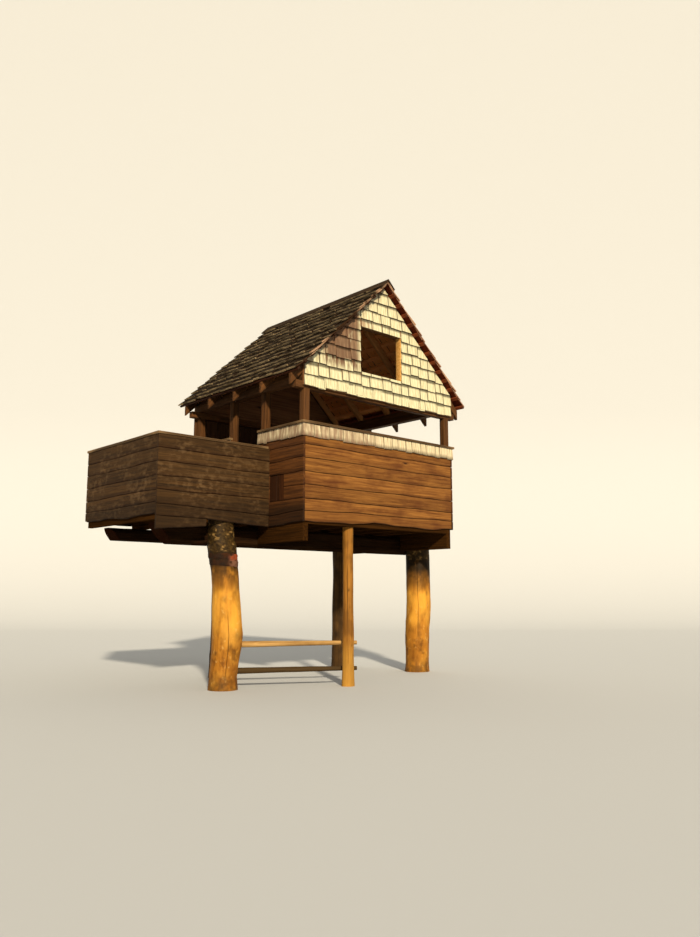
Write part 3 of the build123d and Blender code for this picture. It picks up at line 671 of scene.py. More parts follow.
def plank(low, high, axis, seed, bow=1.5 * MM, ease=3 * MM, spacing=0.12):
    """Rings of a sawn board in a box along an axis, slightly bowed, with eased arrises."""
    low, high = np.array(low, float), np.array(high, float)
    middle = (low + high) / 2
    other = [number for number in range(3) if number != axis]
    count = max(3, round((high[axis] - low[axis]) / spacing) + 1)
    places = np.linspace(low[axis], high[axis], count)
    (a_low, b_low), (a_middle, b_middle), (a_high, b_high) = low[other], middle[other], high[other]
    section = [(a_low, b_low + ease), (a_low + ease, b_low), (a_middle, b_low),
               (a_high - ease, b_low), (a_high, b_low + ease), (a_high, b_middle),
               (a_high, b_high - ease), (a_high - ease, b_high), (a_middle, b_high),
               (a_low + ease, b_high), (a_low, b_high - ease), (a_low, b_middle)]
    rings = np.zeros((count, len(section), 3))
    rings[..., axis] = places[:, None]
    rings[..., other] = section
    for number, direction in enumerate(other):
        sway = ripple(joined(places, seed * 1.7), (1.9, 1.0), seed + 11 * number)
        rings[..., direction] += bow * sway[:, None]
    draw = np.random.default_rng(seed)
    grain = (rings - middle)[..., [axis, *other]] + (0, draw.uniform(0.05, 0.13), draw.uniform(0.03, 0.12))
    return rings, grain, draw.uniform(), 0.0


def floor_boards(node, seed, width=0.13, gap=0.005):
    low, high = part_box(node)
    count = round((high.y - low.y) / width)
    pitch = (high.y - low.y + gap) / count
    starts = [low.y + row * pitch for row in range(count)]
    return [plank((low.x, start, low.z), (high.x, start + pitch - gap, high.z), 0, seed + row, bow=0.4 * MM,
                  spacing=0.4) for row, start in enumerate(starts)]


floor_wood = grained("floor_pine", "#3E2715", "#70502F", "#5A4630", (0.34, 0.70), streak=24, ring=8,
                     knots=0.2, swing=0.2).done(relief=1.2)
for node, seed in (("cabin_floor", 200), ("balcony_floor", 300)):
    settle(bars(f"{node}_boards", floor_boards(node, seed), floor_wood), "floor_board", node)

# Waney-edged boards: sawn through and through, so that the lower edge of each keeps the round of
# the tree. They are nailed to the posts and studs with a narrow seam between.
house_x = (house_low.x + house_high.x) / 2
floor_low, floor_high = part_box("cabin_floor")


def waney_board(corners, seed, spacing=0.032):
    """Rings of a board along its wall, with its wavy edges read from the solid's outer face."""
    seam, top_ease, cupped, planed_off = 2 * MM, 4 * MM, 1.6 * MM, 1.0 * MM
    low, high = corners.min(axis=0), corners.max(axis=0)
    middle = (low + high) / 2
    run = 0 if high[0] - low[0] > high[1] - low[1] else 1
    deep = 1 - run
    indoors = (house_x, (house_low.y + floor_high.y) / 2)[deep]
    out = 1 if middle[deep] > indoors else -1
    face, back = (high[deep], low[deep]) if out > 0 else (low[deep], high[deep])
    outer = corners[np.abs(corners[:, deep] - face) < MM]
    outer = outer[np.argsort(outer[:, run])]
    lower, upper = outer[outer[:, 2] < middle[2]], outer[outer[:, 2] >= middle[2]]
    draw = np.random.default_rng(seed)
    places = np.linspace(low[run], high[run], max(4, round((high[run] - low[run]) / spacing) + 1))
    line = joined(places, seed * 3.3)
    jag = 1.6 * MM * ripple(line, (0.26, 1.0), seed) + 0.8 * MM * ripple(line, (0.09, 1.0), seed + 1)
    foot = np.interp(places, lower[:, run], lower[:, 2]) + jag - seam
    head = np.interp(places, upper[:, run], upper[:, 2]) + 0.6 * MM * ripple(line, (0.4, 1.0), seed + 2)
    wane = (9 + 5 * ripple(line, (0.5, 1.0), seed + 3)) * MM
    tall = head - foot
    thick = abs(face - back)
    rounded = [(0.0, 0.02), (0.45, 0.0), (0.8, 0.25), (0.96, 0.6), (1.0, 1.0)]
    rows = [(share * thick, foot + climb * wane) for share, climb in rounded]
    rows += [(thick, foot + wane + level * (tall - wane)) for level in (0.28, 0.46, 0.64, 0.82)]
    rows += [(thick, head - top_ease), (thick - 3 * MM, head), (0, head), (0, (foot + head) / 2)]
    z = joined(*[height for _, height in rows])
    outward = np.repeat([[depth for depth, _ in rows]], len(places), axis=0)
    level = (z - foot[:, None]) / tall[:, None]
    spots = joined(places[:, None], z * 2, seed * 1.9)
    cup = cupped * (4 * (level - 0.5) ** 2 - 0.5) * draw.uniform(-0.6, 1.0)
    relief = cup + 0.9 * MM * ripple(spots, (0.3, 0.3, 1.0), seed + 4) - planed_off
    outward = outward + (outward > 0.9 * thick) * relief
    rings = np.zeros((*z.shape, 3))
    rings[..., run] = places[:, None]
    rings[..., deep] = back + out * outward
    rings[..., 2] = z
    grain = joined((places - middle[run])[:, None], z - middle[2] + draw.uniform(-0.05, 0.05),
                   outward + draw.uniform(0.03, 0.12))
    # The rounded lower edge is painted dark: painted shade along each seam.
    wane_shade = np.array([0.75] * 4 + [0.3] + [0.0] * (len(rows) - 5))
    return rings, grain, draw.uniform(), wane_shade


def hung(rings, axis, places, levels, drops):
    """Lowers a wall's lowest boards, by the drops given at places along it for each level."""
    at_levels = [np.interp(rings[..., axis], places, row) for row in drops]
    fall = np.where(rings[..., 2] <= levels[0], at_levels[0], 0.0)
    for low, high, below, above in zip(levels, levels[1:], at_levels, at_levels[1:]):
        share = (rings[..., 2] - low) / (high - low)
        fall += np.where((share > 0) & (share <= 1), below + share * (above - below), 0.0)
    rings[..., 2] -= fall


def wall_of_boards(name, node, seed, material, hang=None, shortened=0.0):
    """The boards of a node; shortened cuts the first one back, clear of the post beside it."""
    stacks = []
    for number, corners in enumerate(solids(node)):
        if number == 0 and shortened:
            corners[corners[:, 0] > corners[:, 0].max() - shortened, 0] -= shortened
        stacks.append(waney_board(corners, seed + number))
        if hang:
            hung(stacks[-1][0], *hang)
    settle(bars(name, stacks, material), "waney_board", node)


wood = grained("waney_larch", "#4A280F", "#8E612E", "#744A22", (0.30, 0.70), knots=0.30)
wood.stain("#45200F", 0.5, wood.patches(3.2, 0.48, 0.70, (1.0, 1.0, 1.8), 12.0))
front_wood = wood.done(roughness=0.72, relief=1.3)
front_hang = (0, (-0.75, 0.2, 1.98), (2.05, 2.182, 2.309),
              ((0.030, 0.010, 0.0), (0.025, 0.008, 0.0), (0.0, 0.0, 0.0)))
wall_of_boards("front_wall_boards", "front_parapet_boards", 400, front_wood, front_hang)
# The side walls: a darker copy of the larch, painted shade; darker again towards the floor.
wood = grained("shaded_larch", "#2C190B", "#633D1C", "#4C2C15", (0.32, 0.68), knots=0.30)
wood.stain("#1A1008", 0.78, wood.between(2, floor_high.z + 0.10, floor_low.z))
side_wood = wood.done(roughness=0.72, relief=1.3)
left_hang = (1, (-1.285, -1.05, -0.85, -0.60), (2.05, 2.182, 2.309),
             ((0.030, 0.032, 0.052, 0.042), (0.025, 0.030, 0.042, 0.046), (0.0, 0.0, 0.0, 0.0)))
wall_of_boards("left_wall_boards", "left_parapet_boards", 430, side_wood, left_hang)
wall_of_boards("right_wall_boards", "right_parapet_boards", 460, side_wood)
# Balcony boards: painted dark for the shade of the leaves, with pale painted sun flecks, and darker again
# towards the foot.
wood = grained("balcony_larch", "#20150A", "#483219", "#382816", (0.32, 0.68), streak=24, knots=0.25,
               swing=0.26)
wood.stain("#7E6446", 0.32, wood.patches(17.0, 0.46, 0.66, (0.7, 0.7, 1.3), 21.0, 4.0),
           wood.patches(2.2, 0.40, 0.60, seed=27.0))
wood.stain("#1C1208", 0.55, wood.between(2, floor_high.z + 0.08, floor_low.z - 0.06))
balcony_wood = wood.done(roughness=0.75, relief=1.2)
balcony_hang = (0, (-2.384, -1.71, -1.40, -0.784), (1.92, 2.070, 2.197, 2.347),
                ((0.026, -0.030, 0.0, 0.0), (0.026, 0.034, 0.045, 0.075), (0.020, 0.028, 0.038, 0.062),
                 (0.0, 0.0, 0.0, 0.0)))
wall_of_boards("balcony_front_cladding", "balcony_front_boards", 500, balcony_wood, balcony_hang,
               shortened=0.087)
wall_of_boards("balcony_side_cladding", "balcony_side_boards", 530, balcony_wood)
wall_of_boards("balcony_back_cladding", "balcony_back_boards", 560, balcony_wood)

# Upright planks in the nook, upright boards of the back wall, and the boards under the eaves, all
# sawn pine or larch, nailed edge to edge.


def boards(nodes, axis, seed, **how):
    """A sawn board for each solid of the nodes, along the given axis or else its own length."""
    found = [corners for node in nodes for corners in solids(node)]
    return [plank(corners.min(axis=0), corners.max(axis=0),
                  int(np.ptp(corners, axis=0).argmax()) if axis is None else axis, seed + number, **how)
            for number, corners in enumerate(found)]


# Nook planks: painted near black, for the shade in the recess.
nook_wood = grained("nook_larch", "#170B04", "#381D0A", "#2A160A", (0.30, 0.70), knots=0.20,
                    swing=0.30).done(roughness=0.72, relief=1.3)
back_wood = grained("back_wall_pine", "#33200F", "#604024", "#4C3424", (0.32, 0.70), streak=24, ring=8,
                    knots=0.22).done(roughness=0.78, relief=1.2)
for name, node, axis, seed, material, slot in (
        ("nook_boards", "nook_planks", 2, 600, nook_wood, "waney_board"),
        ("back_boards", "back_wall_boards", 2, 620, back_wood, "wall_board"),
        ("under_eaves_boards", "eaves_boards", 1, 650, back_wood, "wall_board")):
    settle(bars(name, boards([node], axis, seed, bow=1.2 * MM), material), slot, node)

# Cap rails: planed boards that lie on the parapets, dark with age, and pale on their arrises with
# wear and a painted highlight.
wood = grained("cap_oak", "#261A0E", "#55402A", "#463420", (0.34, 0.72), streak=22, ring=8, knots=0.06,
               swing=0.12)
# pale arrises: wear, with a painted highlight
edge = wood.add("ValToRGB", wood.add("NewGeometry", out="Pointiness"), stops=[(0.53, 0.0), (0.60, 1.0)])
wood.stain("#8A7050", 0.8, edge)
cap_wood = wood.done(roughness=0.6, relief=0.8)
caps = ["cap_rails", "balcony_cap_rails"]
settle(bars("cap_boards", boards(caps, None, 700, ease=4 * MM), cap_wood), "sawn_timber", *caps)

# Gable sheathing: rough boards behind the shingles, seen from inside and from below; and the
# lining of the unglazed window, of planed boards, dark but for the side that the sun reaches.
sheathing_wood = grained("sheathing_pine", "#5E3A22", "#946A45", "#6B4A34", (0.32, 0.70), knots=0.2,
                         swing=0.16).done(relief=1.2)
reopened(dressed("gable_sheathing", ["front_gable_sheathing", "back_gable_sheathing"], sheathing_wood,
                 "wall_board", ease=1.5))
wood = grained("lining_larch", "#B47A2E", "#ECBE76", "#D29A50", (0.30, 0.70), streak=24, ring=8, knots=0.1,
               swing=0.12)
lining_right = lining_high.x + window_wider
# All but the right jamb are painted dark: painted shade.
wood.stain("#3E2412", 0.9, wood.between(0, lining_right - 0.026, lining_right - 0.034))
lining_wood = wood.done(roughness=0.7, relief=1.0)
reopened(dressed("window_jambs", ["window_lining"], lining_wood, "sawn_timber", ease=2))

# Gable shingles: split by hand, laid in courses with staggered joints, each course lapping half
# over the one below; bleached to straw, and left brown where the roof kept the sun off.
kinds = 8


def shingle_units(name, front, back, roughness, seed, material, foot_painted_light, side_mark):
    """A few unlike shingles, each 1 wide, to be laid at their real widths; lengths in millimetres.

    Their sides carry marks for dark joints, and their feet painted light: painted shade where the
    mark is above 0, painted highlights on the butts where it is below.
    """
    holder = bpy.data.collections.new(name)
    section = np.array([*front, *reversed(back)], float) * MM
    top, foot = np.arange(len(section)) < len(front), section[:, 0] <= 1 * MM
    across = np.array([-0.5, *np.linspace(-0.465, 0.465, 5), 0.5])[:, None]
    usual_width = 0.13
    for kind in range(kinds):
        number = seed + 10 * kind
        draw = np.random.default_rng(number)
        y, z = [np.repeat(row[None], len(across), axis=0) for row in section.T]
        z += top * roughness * MM * ripple(joined(across * usual_width, y), (0.055, 0.6), number)
        y += foot * roughness * 2.2 * MM * ripple(joined(across, across), (0.6, 0.6), number + 1)
        y += foot * draw.uniform(-9, 9) * MM * across
        x = across * (1 - 0.03 * (y / y.max()))
        rim = np.where(np.abs(across) > 0.49, side_mark, np.where(foot, foot_painted_light, 0.0))
        grain = joined(y, across * usual_width + 0.09, z + 0.03 * kind)
        unit = bars(f"{name}_{kind}", [(joined(x, y, z), grain, 0.0, rim)], material)
        holder.objects.link(bpy.data.objects.new(unit.name, unit))
    return holder


def course_tree():
    """Geometry Nodes that split each course into random widths and lay an unlike shingle on each."""
    tree = bpy.data.node_groups.new("shingle_courses", "GeometryNodeTree")
    sizes = ("Width", "Scatter", "Joint", "Stagger", "Lift", "Thinning", "Wander")
    for title, kind in (("Courses", "Geometry"), ("Shingles", "Collection"), ("Material", "Material"),
                        *[(size, "Float") for size in sizes], ("Seed", "Int")):
        tree.interface.new_socket(title, in_out="INPUT", socket_type="NodeSocket" + kind)
    tree.interface.new_socket("Geometry", in_out="OUTPUT", socket_type="NodeSocketGeometry")
    given = add(tree, "NodeGroupInput").node.outputs
    less = {title: add(tree, "Math MULTIPLY", given[title], -1.0) for title in ("Scatter", "Lift", "Stagger")}
    thinnest = add(tree, "Math SUBTRACT", 1.0, given["Thinning"])
    askew_most, swells_per_metre = 0.012, 1.7
    ranges = [(less["Scatter"], given["Scatter"]), (0, kinds - 1), (less["Lift"], 0.0),
              (-askew_most, askew_most), (less["Stagger"], given["Stagger"]), (0.0, 1.0), (thinnest, 1.0)]
    shift, pick, raised, askew, slip, shade, thick = [
        add(tree, "FunctionNodeRandomValue", low, high, data_type="INT" if isinstance(low, int) else "FLOAT",
            Seed=add(tree, "Math ADD", given["Seed"], float(number)))
        for number, (low, high) in enumerate(ranges)]
    lines = add(tree, "GeometryNodeMeshToCurve", Mesh=given["Courses"])
    split = add(tree, "GeometryNodeResampleCurve", mode="LENGTH", Curve=lines, Length=given["Width"])
    inner = add(tree, "FunctionNodeBooleanMath NOT", add(tree, "GeometryNodeCurveEndpointSelection"))
    moved = add(tree, "GeometryNodeSetPosition", Geometry=split, Selection=inner,
                Offset=add(tree, "CombineXYZ", shift))
    swell = add(tree, "TexNoise", noise_dimensions="4D", Vector=add(tree, "GeometryNodeInputPosition"),
                W=given["Seed"], Scale=swells_per_metre)
    bend = add(tree, "Math MULTIPLY", add(tree, "Math SUBTRACT", swell, 0.5), given["Wander"])
    waved = add(tree, "GeometryNodeSetPosition", Geometry=moved, Offset=add(tree, "CombineXYZ", Y=bend))
    edges = add(tree, "GeometryNodeCurveToMesh", Curve=waved)
    tips = add(tree, "GeometryNodeInputMeshEdgeVertices").node.outputs
    wide = add(tree, "VectorMath DISTANCE", tips["Position 1"], tips["Position 2"])
    kept = add(tree, "GeometryNodeStoreNamedAttribute", data_type="FLOAT", domain="EDGE", Geometry=edges,
               Name="wide", Value=wide)
    seats = add(tree, "GeometryNodeMeshToPoints", mode="EDGES", Mesh=kept)
    stock = add(tree, "GeometryNodeCollectionInfo", Collection=given["Shingles"], Separate_Children=True,
                Reset_Children=True)
    width = add(tree, "GeometryNodeInputNamedAttribute", data_type="FLOAT", Name="wide")
    clear = add(tree, "Math SUBTRACT", width, given["Joint"])
    laid = add(tree, "GeometryNodeInstanceOnPoints", Points=seats, Instance=stock, Pick_Instance=True,
               Instance_Index=pick, Rotation=add(tree, "CombineXYZ", X=raised, Z=askew),
               Scale=add(tree, "CombineXYZ", clear, 1.0, thick))
    slid = add(tree, "GeometryNodeTranslateInstances", Instances=laid, Local_Space=False,
               Translation=add(tree, "CombineXYZ", Y=slip))
    toned = add(tree, "GeometryNodeStoreNamedAttribute", data_type="FLOAT", domain="INSTANCE", Geometry=slid,
                Name="tone", Value=shade)
    real = add(tree, "GeometryNodeRealizeInstances", Geometry=toned)
    done = add(tree, "GeometryNodeSetMaterial", Geometry=real, Material=given["Material"])
    add(tree, "NodeGroupOutput", done)
    return tree


courses = course_tree()


def laid_courses(name, stretches, seed, units, material, sizes):
    """A bmesh of shingles laid flat: x along the course, y up the slope and z outwards."""
    lines = bpy.data.meshes.new(name + "_lines")
    ends = [(u, v, 0.0) for start, end, v in stretches for u in (start, end)]
    lines.from_pydata(ends, [(2 * n, 2 * n + 1) for n in range(len(stretches))], [])
    holder = bpy.data.objects.new(name + "_lines", lines)
    bpy.context.scene.collection.objects.link(holder)
    layer = holder.modifiers.new("courses", "NODES")
    layer.node_group = courses
    values = dict(sizes, Shingles=units, Material=material, Seed=seed)
    for socket in courses.interface.items_tree:
        if socket.name in values:
            layer[socket.identifier] = values[socket.name]
    bpy.context.view_layer.update()
    graph = bpy.context.evaluated_depsgraph_get()
    flat = bpy.data.meshes.new_from_object(holder.evaluated_get(graph))
    bpy.data.objects.remove(holder)
    shape = bmesh.new()
    shape.from_mesh(flat)
    bpy.data.meshes.remove(flat)
    return shape


def stood_up(shape, origin, along, upward):
    """Moves flat-laid shingles to their wall or slope."""
    along, upward = Vector(along), Vector(upward)
    for vert in shape.verts:
        x, y, z = vert.co
        vert.co = Vector(origin) + x * along + y * upward + z * along.cross(upward)


def trimmed(shape, place, outward, verts=None):
    """Saws off what lies beyond a plane, and closes the cut."""
    weld = 0.01 * MM
    verts = set(shape.verts if verts is None else verts)
    faces = [face for face in shape.faces if all(vert in verts for vert in face.verts)]
    edges = list({edge for face in faces for edge in face.edges})
    cut = bmesh.ops.bisect_plane(shape, geom=list(verts) + edges + faces, plane_co=place, plane_no=outward,
                                 clear_outer=True, dist=weld)
    rim = [item for item in cut["geom_cut"] if isinstance(item, bmesh.types.BMEdge) and item.is_boundary]
    bmesh.ops.holes_fill(shape, edges=rim, sides=0)


def mesh_from(shape, name, material):
    mesh = bpy.data.meshes.new(name)
    shape.to_mesh(mesh)
    shape.free()
    return smoothed(mesh, material)


def up_shingle(wood, start, end):
    """A share that rises from 0 at start to 1 at end, in metres up each shingle from its foot."""
    place = wood.add("Attribute", attribute_name="grain", out="Vector")
    return wood.add("MapRange", wood.add("SeparateXYZ", place), start, end)


foot, peak = house_low.z, house_high.z
half = (house_high.x - house_low.x) / 2
sheathing = np.concatenate(solids("front_gable_sheathing"))
steep = (peak - sheathing[sheathing[:, 0] > house_high.x - MM][:, 2].max()) / half
pitch = math.atan(steep)
back_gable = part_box("back_gable_sheathing")[0]
lining_thick = 0.02
window_low = lining_low + Vector((lining_thick, 0, lining_thick))
window_high = lining_high + Vector((window_wider - lining_thick, 0, window_taller - lining_thick))

wood = grained("bleached_shingle", "#ABA27C", "#DAD7B8", "#CABB94", (0.22, 0.58), streak=20, ring=30,
               knots=0.03, swing=0.07)
# A brown patch left of the window, which runs out below in streaks.
streaks = wood.add("Math MULTIPLY", wood.between(2, window_low.z - 0.09, window_low.z + 0.08),
                   wood.patches(26.0, 0.38, 0.54, (1.0, 1.0, 0.16), 15.0))
sheltered = (wood.between(0, window_low.x - 0.76, window_low.x - 0.56),
             wood.between(0, window_low.x, window_low.x - 0.10),
             wood.add("Math MAXIMUM", wood.between(2, window_low.z + 0.10, window_low.z + 0.14), streaks),
             wood.between(2, window_high.z + 0.24, window_high.z + 0.10),
             wood.between(1, back_gable.y, house_high.y))
wood.stain("#64493A", 0.94, *sheltered, wood.patches(12.0, 0.16, 0.40, (1.0, 1.0, 0.25), 15.0))
wood.stain("#9A8066", 0.45, *sheltered, wood.patches(30.0, 0.50, 0.66, (1.0, 1.0, 0.14), 18.0))
# A brown tinge under the verges, a rosy one over the window's left end, and painted shadow with
# dirt under the butts.
place = wood.add("SeparateXYZ", wood.add("TexCoord", out="Object")).node.outputs
rise = wood.add("Math MULTIPLY_ADD", place[0], -steep, place[2])
verge_level = peak - steep * house_x
near_verge = wood.add("MapRange", rise, verge_level - 0.20, verge_level - 0.03,
                      interpolation_type="SMOOTHSTEP")
wood.stain("#765640", 0.7, near_verge, wood.patches(14.0, 0.38, 0.60, (1.0, 1.0, 0.3), 6.0))
wood.stain("#8A6048", 0.6, wood.between(2, window_high.z - 0.02, window_high.z + 0.01),
           wood.between(2, window_high.z + 0.13, window_high.z + 0.06),
           wood.between(0, window_low.x - 0.1, window_low.x),
           wood.between(0, window_low.x + 0.30, window_low.x + 0.12),
           wood.patches(22.0, 0.36, 0.56, (1.0, 1.0, 0.25), 9.0))
# painted shadow under each butt above, with dirt
wood.stain("#140C05", 0.75, up_shingle(wood, 0.112, 0.138))
shingle_wood = wood.done(relief=1.0, sheen=0.0)
courses_to_head, past_head = 6, 50 * MM
exposure = (window_high.z - past_head - foot) / courses_to_head
shingle_length = 210
shingle_front = [(0, 19), (6, 19), (40, 16), (140, 6.5), (shingle_length, 0.6)]
shingle_back = [(0, 6.5), (80, 0.2), (209, 0)]
# Wall shingles: dark joints at the sides and painted shade at the feet.
wall_units = shingle_units("wall_shingle_unit", shingle_front, shingle_back, 0.9, 50, shingle_wood, 1.0, 0.8)
wall_kit = (wall_units, shingle_wood, dict(Width=0.165, Scatter=0.054, Joint=0.008, Stagger=0.012, Lift=0.012,
                                           Thinning=0.25, Wander=0.07))


def gable_stretches(opening):
    """Start, end and height of each run of shingles over the gable, split beside the window."""
    runs = []
    near, far = window_low.x - house_x, window_high.x - house_x
    slack = 10 * MM
    for row in range(-1, math.ceil((peak - foot) / exposure)):
        level = foot + max(row, 0) * exposure
        reach = min(half, (peak - level) / steep)
        if opening and level + shingle_length * MM > window_low.z and level < window_high.z - slack:
            runs += [(-reach, near, level), (far, reach, level)]
            if not window_low.z - slack <= level < window_high.z - exposure - slack:
                runs.append((near, far, level))
        else:
            runs.append((-reach, reach, level))
    return runs


def gable_cladding(name, node, origin_y, along, seed, opening):
    shape = laid_courses(name, gable_stretches(opening), seed, *wall_kit)
    stood_up(shape, (house_x, origin_y, 0), along, (0, 0, 1))
    for side in (-1, 1):
        trimmed(shape, (house_x, 0, peak), (side * math.sin(pitch), 0, math.cos(pitch)))
    for edge, side in ((house_low.x, -1), (house_high.x, 1)):
        trimmed(shape, (edge, 0, 0), (side, 0, 0))
    middle = (window_low.z + window_high.z) / 2
    for edge, side in ((window_low.z, 1), (window_high.z, -1)) if opening else ():
        inside = [vert for vert in shape.verts if side * (middle - vert.co.z) > 0
                  and window_low.x - 5 * MM < vert.co.x < window_high.x + 5 * MM]
        trimmed(shape, (0, 0, edge), (0, 0, side), inside)
    settle(mesh_from(shape, name, shingle_wood), "wall_shingle", node)


front_face, back_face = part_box("front_gable_shingles")[0].y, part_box("back_gable_shingles")[1].y
gable_cladding("front_gable_cladding", "front_gable_shingles", front_face + 20 * MM, (1, 0, 0), 5, True)
gable_cladding("back_gable_cladding", "back_gable_shingles", back_face - 20 * MM, (-1, 0, 0), 6, False)

# Parapet shingles: one short course under the cap, on the front and both sides, weathered grey
# at the left and bleached at the right.
wood = grained("weathered_shingle", "#A8987A", "#E4D8B8", "#CCB694", (0.26, 0.62), streak=20, ring=30,
               knots=0.03, swing=0.12)
wood.stain("#7A5E4C", 0.75, wood.between(0, 0.62, 0.20),
           wood.patches(20.0, 0.34, 0.60, (1.0, 1.0, 0.22), 4.0))
band_wood = wood.done(relief=1.0)
band_front, band_back = [(0, 19), (60, 14), (161, 7)], [(0, 1), (80, 0.5), (161, 0)]
# Band shingles: dark joints at the sides and painted shade at the feet.
band_units = shingle_units("band_shingle_unit", band_front, band_back, 0.9, 150, band_wood, 0.8, 0.5)
band_kit = (band_units, band_wood, dict(Width=0.140, Scatter=0.044, Joint=0.007, Stagger=0.010, Lift=0.006,
                                        Thinning=0.25, Wander=0.02))
band_low, band_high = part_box("parapet_shingles")
band_thick = 18 * MM
front_plane = band_low.y + band_thick
sides = [laid_courses(f"band_{number}", [(0.0, length, 0.0)], 30 + number, *band_kit)
         for number, length in enumerate((band_high.x - band_low.x, *[band_high.y - front_plane] * 2))]
for side, x, y, along in zip(sides, (band_low.x, band_high.x - band_thick, band_low.x + band_thick),
                             (front_plane, front_plane, band_high.y), ((1, 0, 0), (0, 1, 0), (0, -1, 0))):
    stood_up(side, (x, y, band_low.z), along, (0, 0, 1))
    trimmed(side, (0, 0, band_high.z), (0, 0, 1))
bands = gathered(sides)
door_low, door_high = sorted(corners[:, 1].mean() for corners in solids("door_posts"))
for group in islands(bands):
    middle = sum((vert.co for vert in group), Vector()) / len(group)
    if middle.x < band_low.x + 0.05 and door_low < middle.y < door_high:
        bmesh.ops.delete(bands, geom=group, context="VERTS")
settle(mesh_from(bands, "parapet_band", band_wood), "wall_shingle", "parapet_shingles")

# Roof frame and battens: rafters in pairs on the ridge board, with battens that carry the shakes.
# The battens' undersides are warm where the low light reaches them, and dark on the shaded side.
attic_floor = 3.84


def attic(wood):
    """Shares that are all 1 under the roof, indoors, where the wood has kept its colour."""
    return [wood.between(axis, start, end) for axis, start, end in (
        (0, house_low.x, house_low.x + 0.04), (0, house_high.x, house_high.x - 0.04),
        (1, house_low.y + 0.03, house_low.y + 0.08), (1, back_gable.y - 0.01, back_gable.y - 0.05),
        (2, attic_floor, attic_floor + 0.08))]


wood = grained("rafter_pine", **sawn_pine)
wood.stain("#C08850", 0.85, *attic(wood))
rafter_wood = wood.done(roughness=0.75, relief=1.2)
dressed("rafters_and_ridge", ["left_rafters", "right_rafters", "ridge_board"], rafter_wood, "sawn_timber")
wood = grained("batten_larch", "#4A1C0C", "#80401F", "#6E341A", (0.30, 0.70), streak=22, ring=8, knots=0.12,
               swing=0.16)
facing = wood.add("SeparateXYZ", wood.add("NewGeometry", out="Normal")).node.outputs
# Painted shade: dark on the end faces towards the front and on the left side.
wood.stain("#33261A", 0.8, wood.add("Math LESS_THAN", facing[1], -0.7))
wood.stain("#21130A", 0.8, wood.between(0, house_x + 0.05, house_x - 0.20))
wood.stain("#DC9658", 0.9, *attic(wood))
batten_wood = wood.done(roughness=0.75, relief=1.0)
dressed("battens", ["left_roof_battens", "right_roof_battens"], batten_wood, "roof_batten", ease=2)

# Roof shakes: thick riven shakes in single courses with staggered joints, dark with age and painted
# leaf shade on top, with painted highlights on their butts and painted shadow with dirt under them,
# and split along the grain. Undersides are fresh indoors; outdoors they are painted dark with shade,
# and red at the right where painted low sun reaches them; the ends at the verge are bleached near
# the ridge and the eaves.
ridge_wood = grained("ridge_larch", "#16100A", "#44362A", "#30261A", (0.32, 0.68), streak=22, knots=0.05,
                     swing=0.15).done(roughness=0.9, relief=2.0, sheen=0.03)
wood = grained("aged_shake", "#171009", "#42362A", "#31261A", (0.32, 0.66), streak=16, ring=40, knots=0.02,
               swing=0.45)
wood.stain("#463E2E", 0.25, wood.patches(4.0, 0.54, 0.72, seed=33.0))
# The butts catch the low sun: painted highlights, pale on some.
butts = wood.add("MapRange", wood.add("Attribute", attribute_name="mark", out="Fac"), 0.0, -1.0)
wood.stain("#4A3C2A", 0.9, butts)
wood.stain("#A89678", 0.8, butts, wood.patches(5.0, 0.46, 0.64, (1.6, 0.7, 1.6), 19.0, 5.0))
# painted shadow under the butts above, with dirt
wood.stain("#140C05", 0.93, up_shingle(wood, 0.055, 0.105))
# painted highlight along each butt's edge
butt_glints = wood.patches(7.0, 0.36, 0.62, (1.4, 0.6, 1.4), 14.0)
wood.stain("#A4906F", 0.85, up_shingle(wood, 0.024, 0.006), butt_glints)
facing = wood.add("SeparateXYZ", wood.add("NewGeometry", out="Normal")).node.outputs
off_ridge = wood.add("Math SUBTRACT", wood.add("SeparateXYZ", wood.add("TexCoord", out="Object")), house_x)
inward = wood.add("Math LESS_THAN", wood.add("Math MULTIPLY", off_ridge, facing[0]), 0.0)
at_right = wood.between(0, house_x - 0.1, house_x + 0.1)
# Undersides outdoors: painted shade, dark at the left, and red at the right where painted low sun falls;
# indoors they keep their fresh colour.
soffit = wood.mixed(wood.mixed("#2E1A10", "#53200F", at_right), "#D89050", *attic(wood))
wood.stain(soffit, 0.92, wood.add("MapRange", facing[2], -0.2, -0.5), inward)
verge_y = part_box("left_roof_shakes")[0].y
at_verge = (wood.between(1, verge_y + 0.07, verge_y + 0.04), wood.add("Math LESS_THAN", facing[1], -0.6))
wood.stain(wood.mixed("#3C2A1C", "#A8826A", at_right), 0.7, *at_verge)
near_eaves = wood.add("Math MULTIPLY", wood.between(2, peak - 1.35, peak - 1.25),
                      wood.between(2, peak - 0.90, peak - 1.05))
near_ends = wood.add("Math MAXIMUM", wood.between(2, peak - 0.55, peak - 0.40), near_eaves)
wood.stain("#A8886E", 0.85, *at_verge, near_ends, wood.patches(9.0, 0.36, 0.54, seed=41.0))
shake_wood = wood.done(roughness=0.9, relief=2.2, sheen=0.03)
shake_thick = 47
shake_front = [(0, shake_thick), (8, 46.5), (60, 40), (165, 25), (355, 2)]
shake_back = [(0, 25), (190, 0.4), (354, 0)]
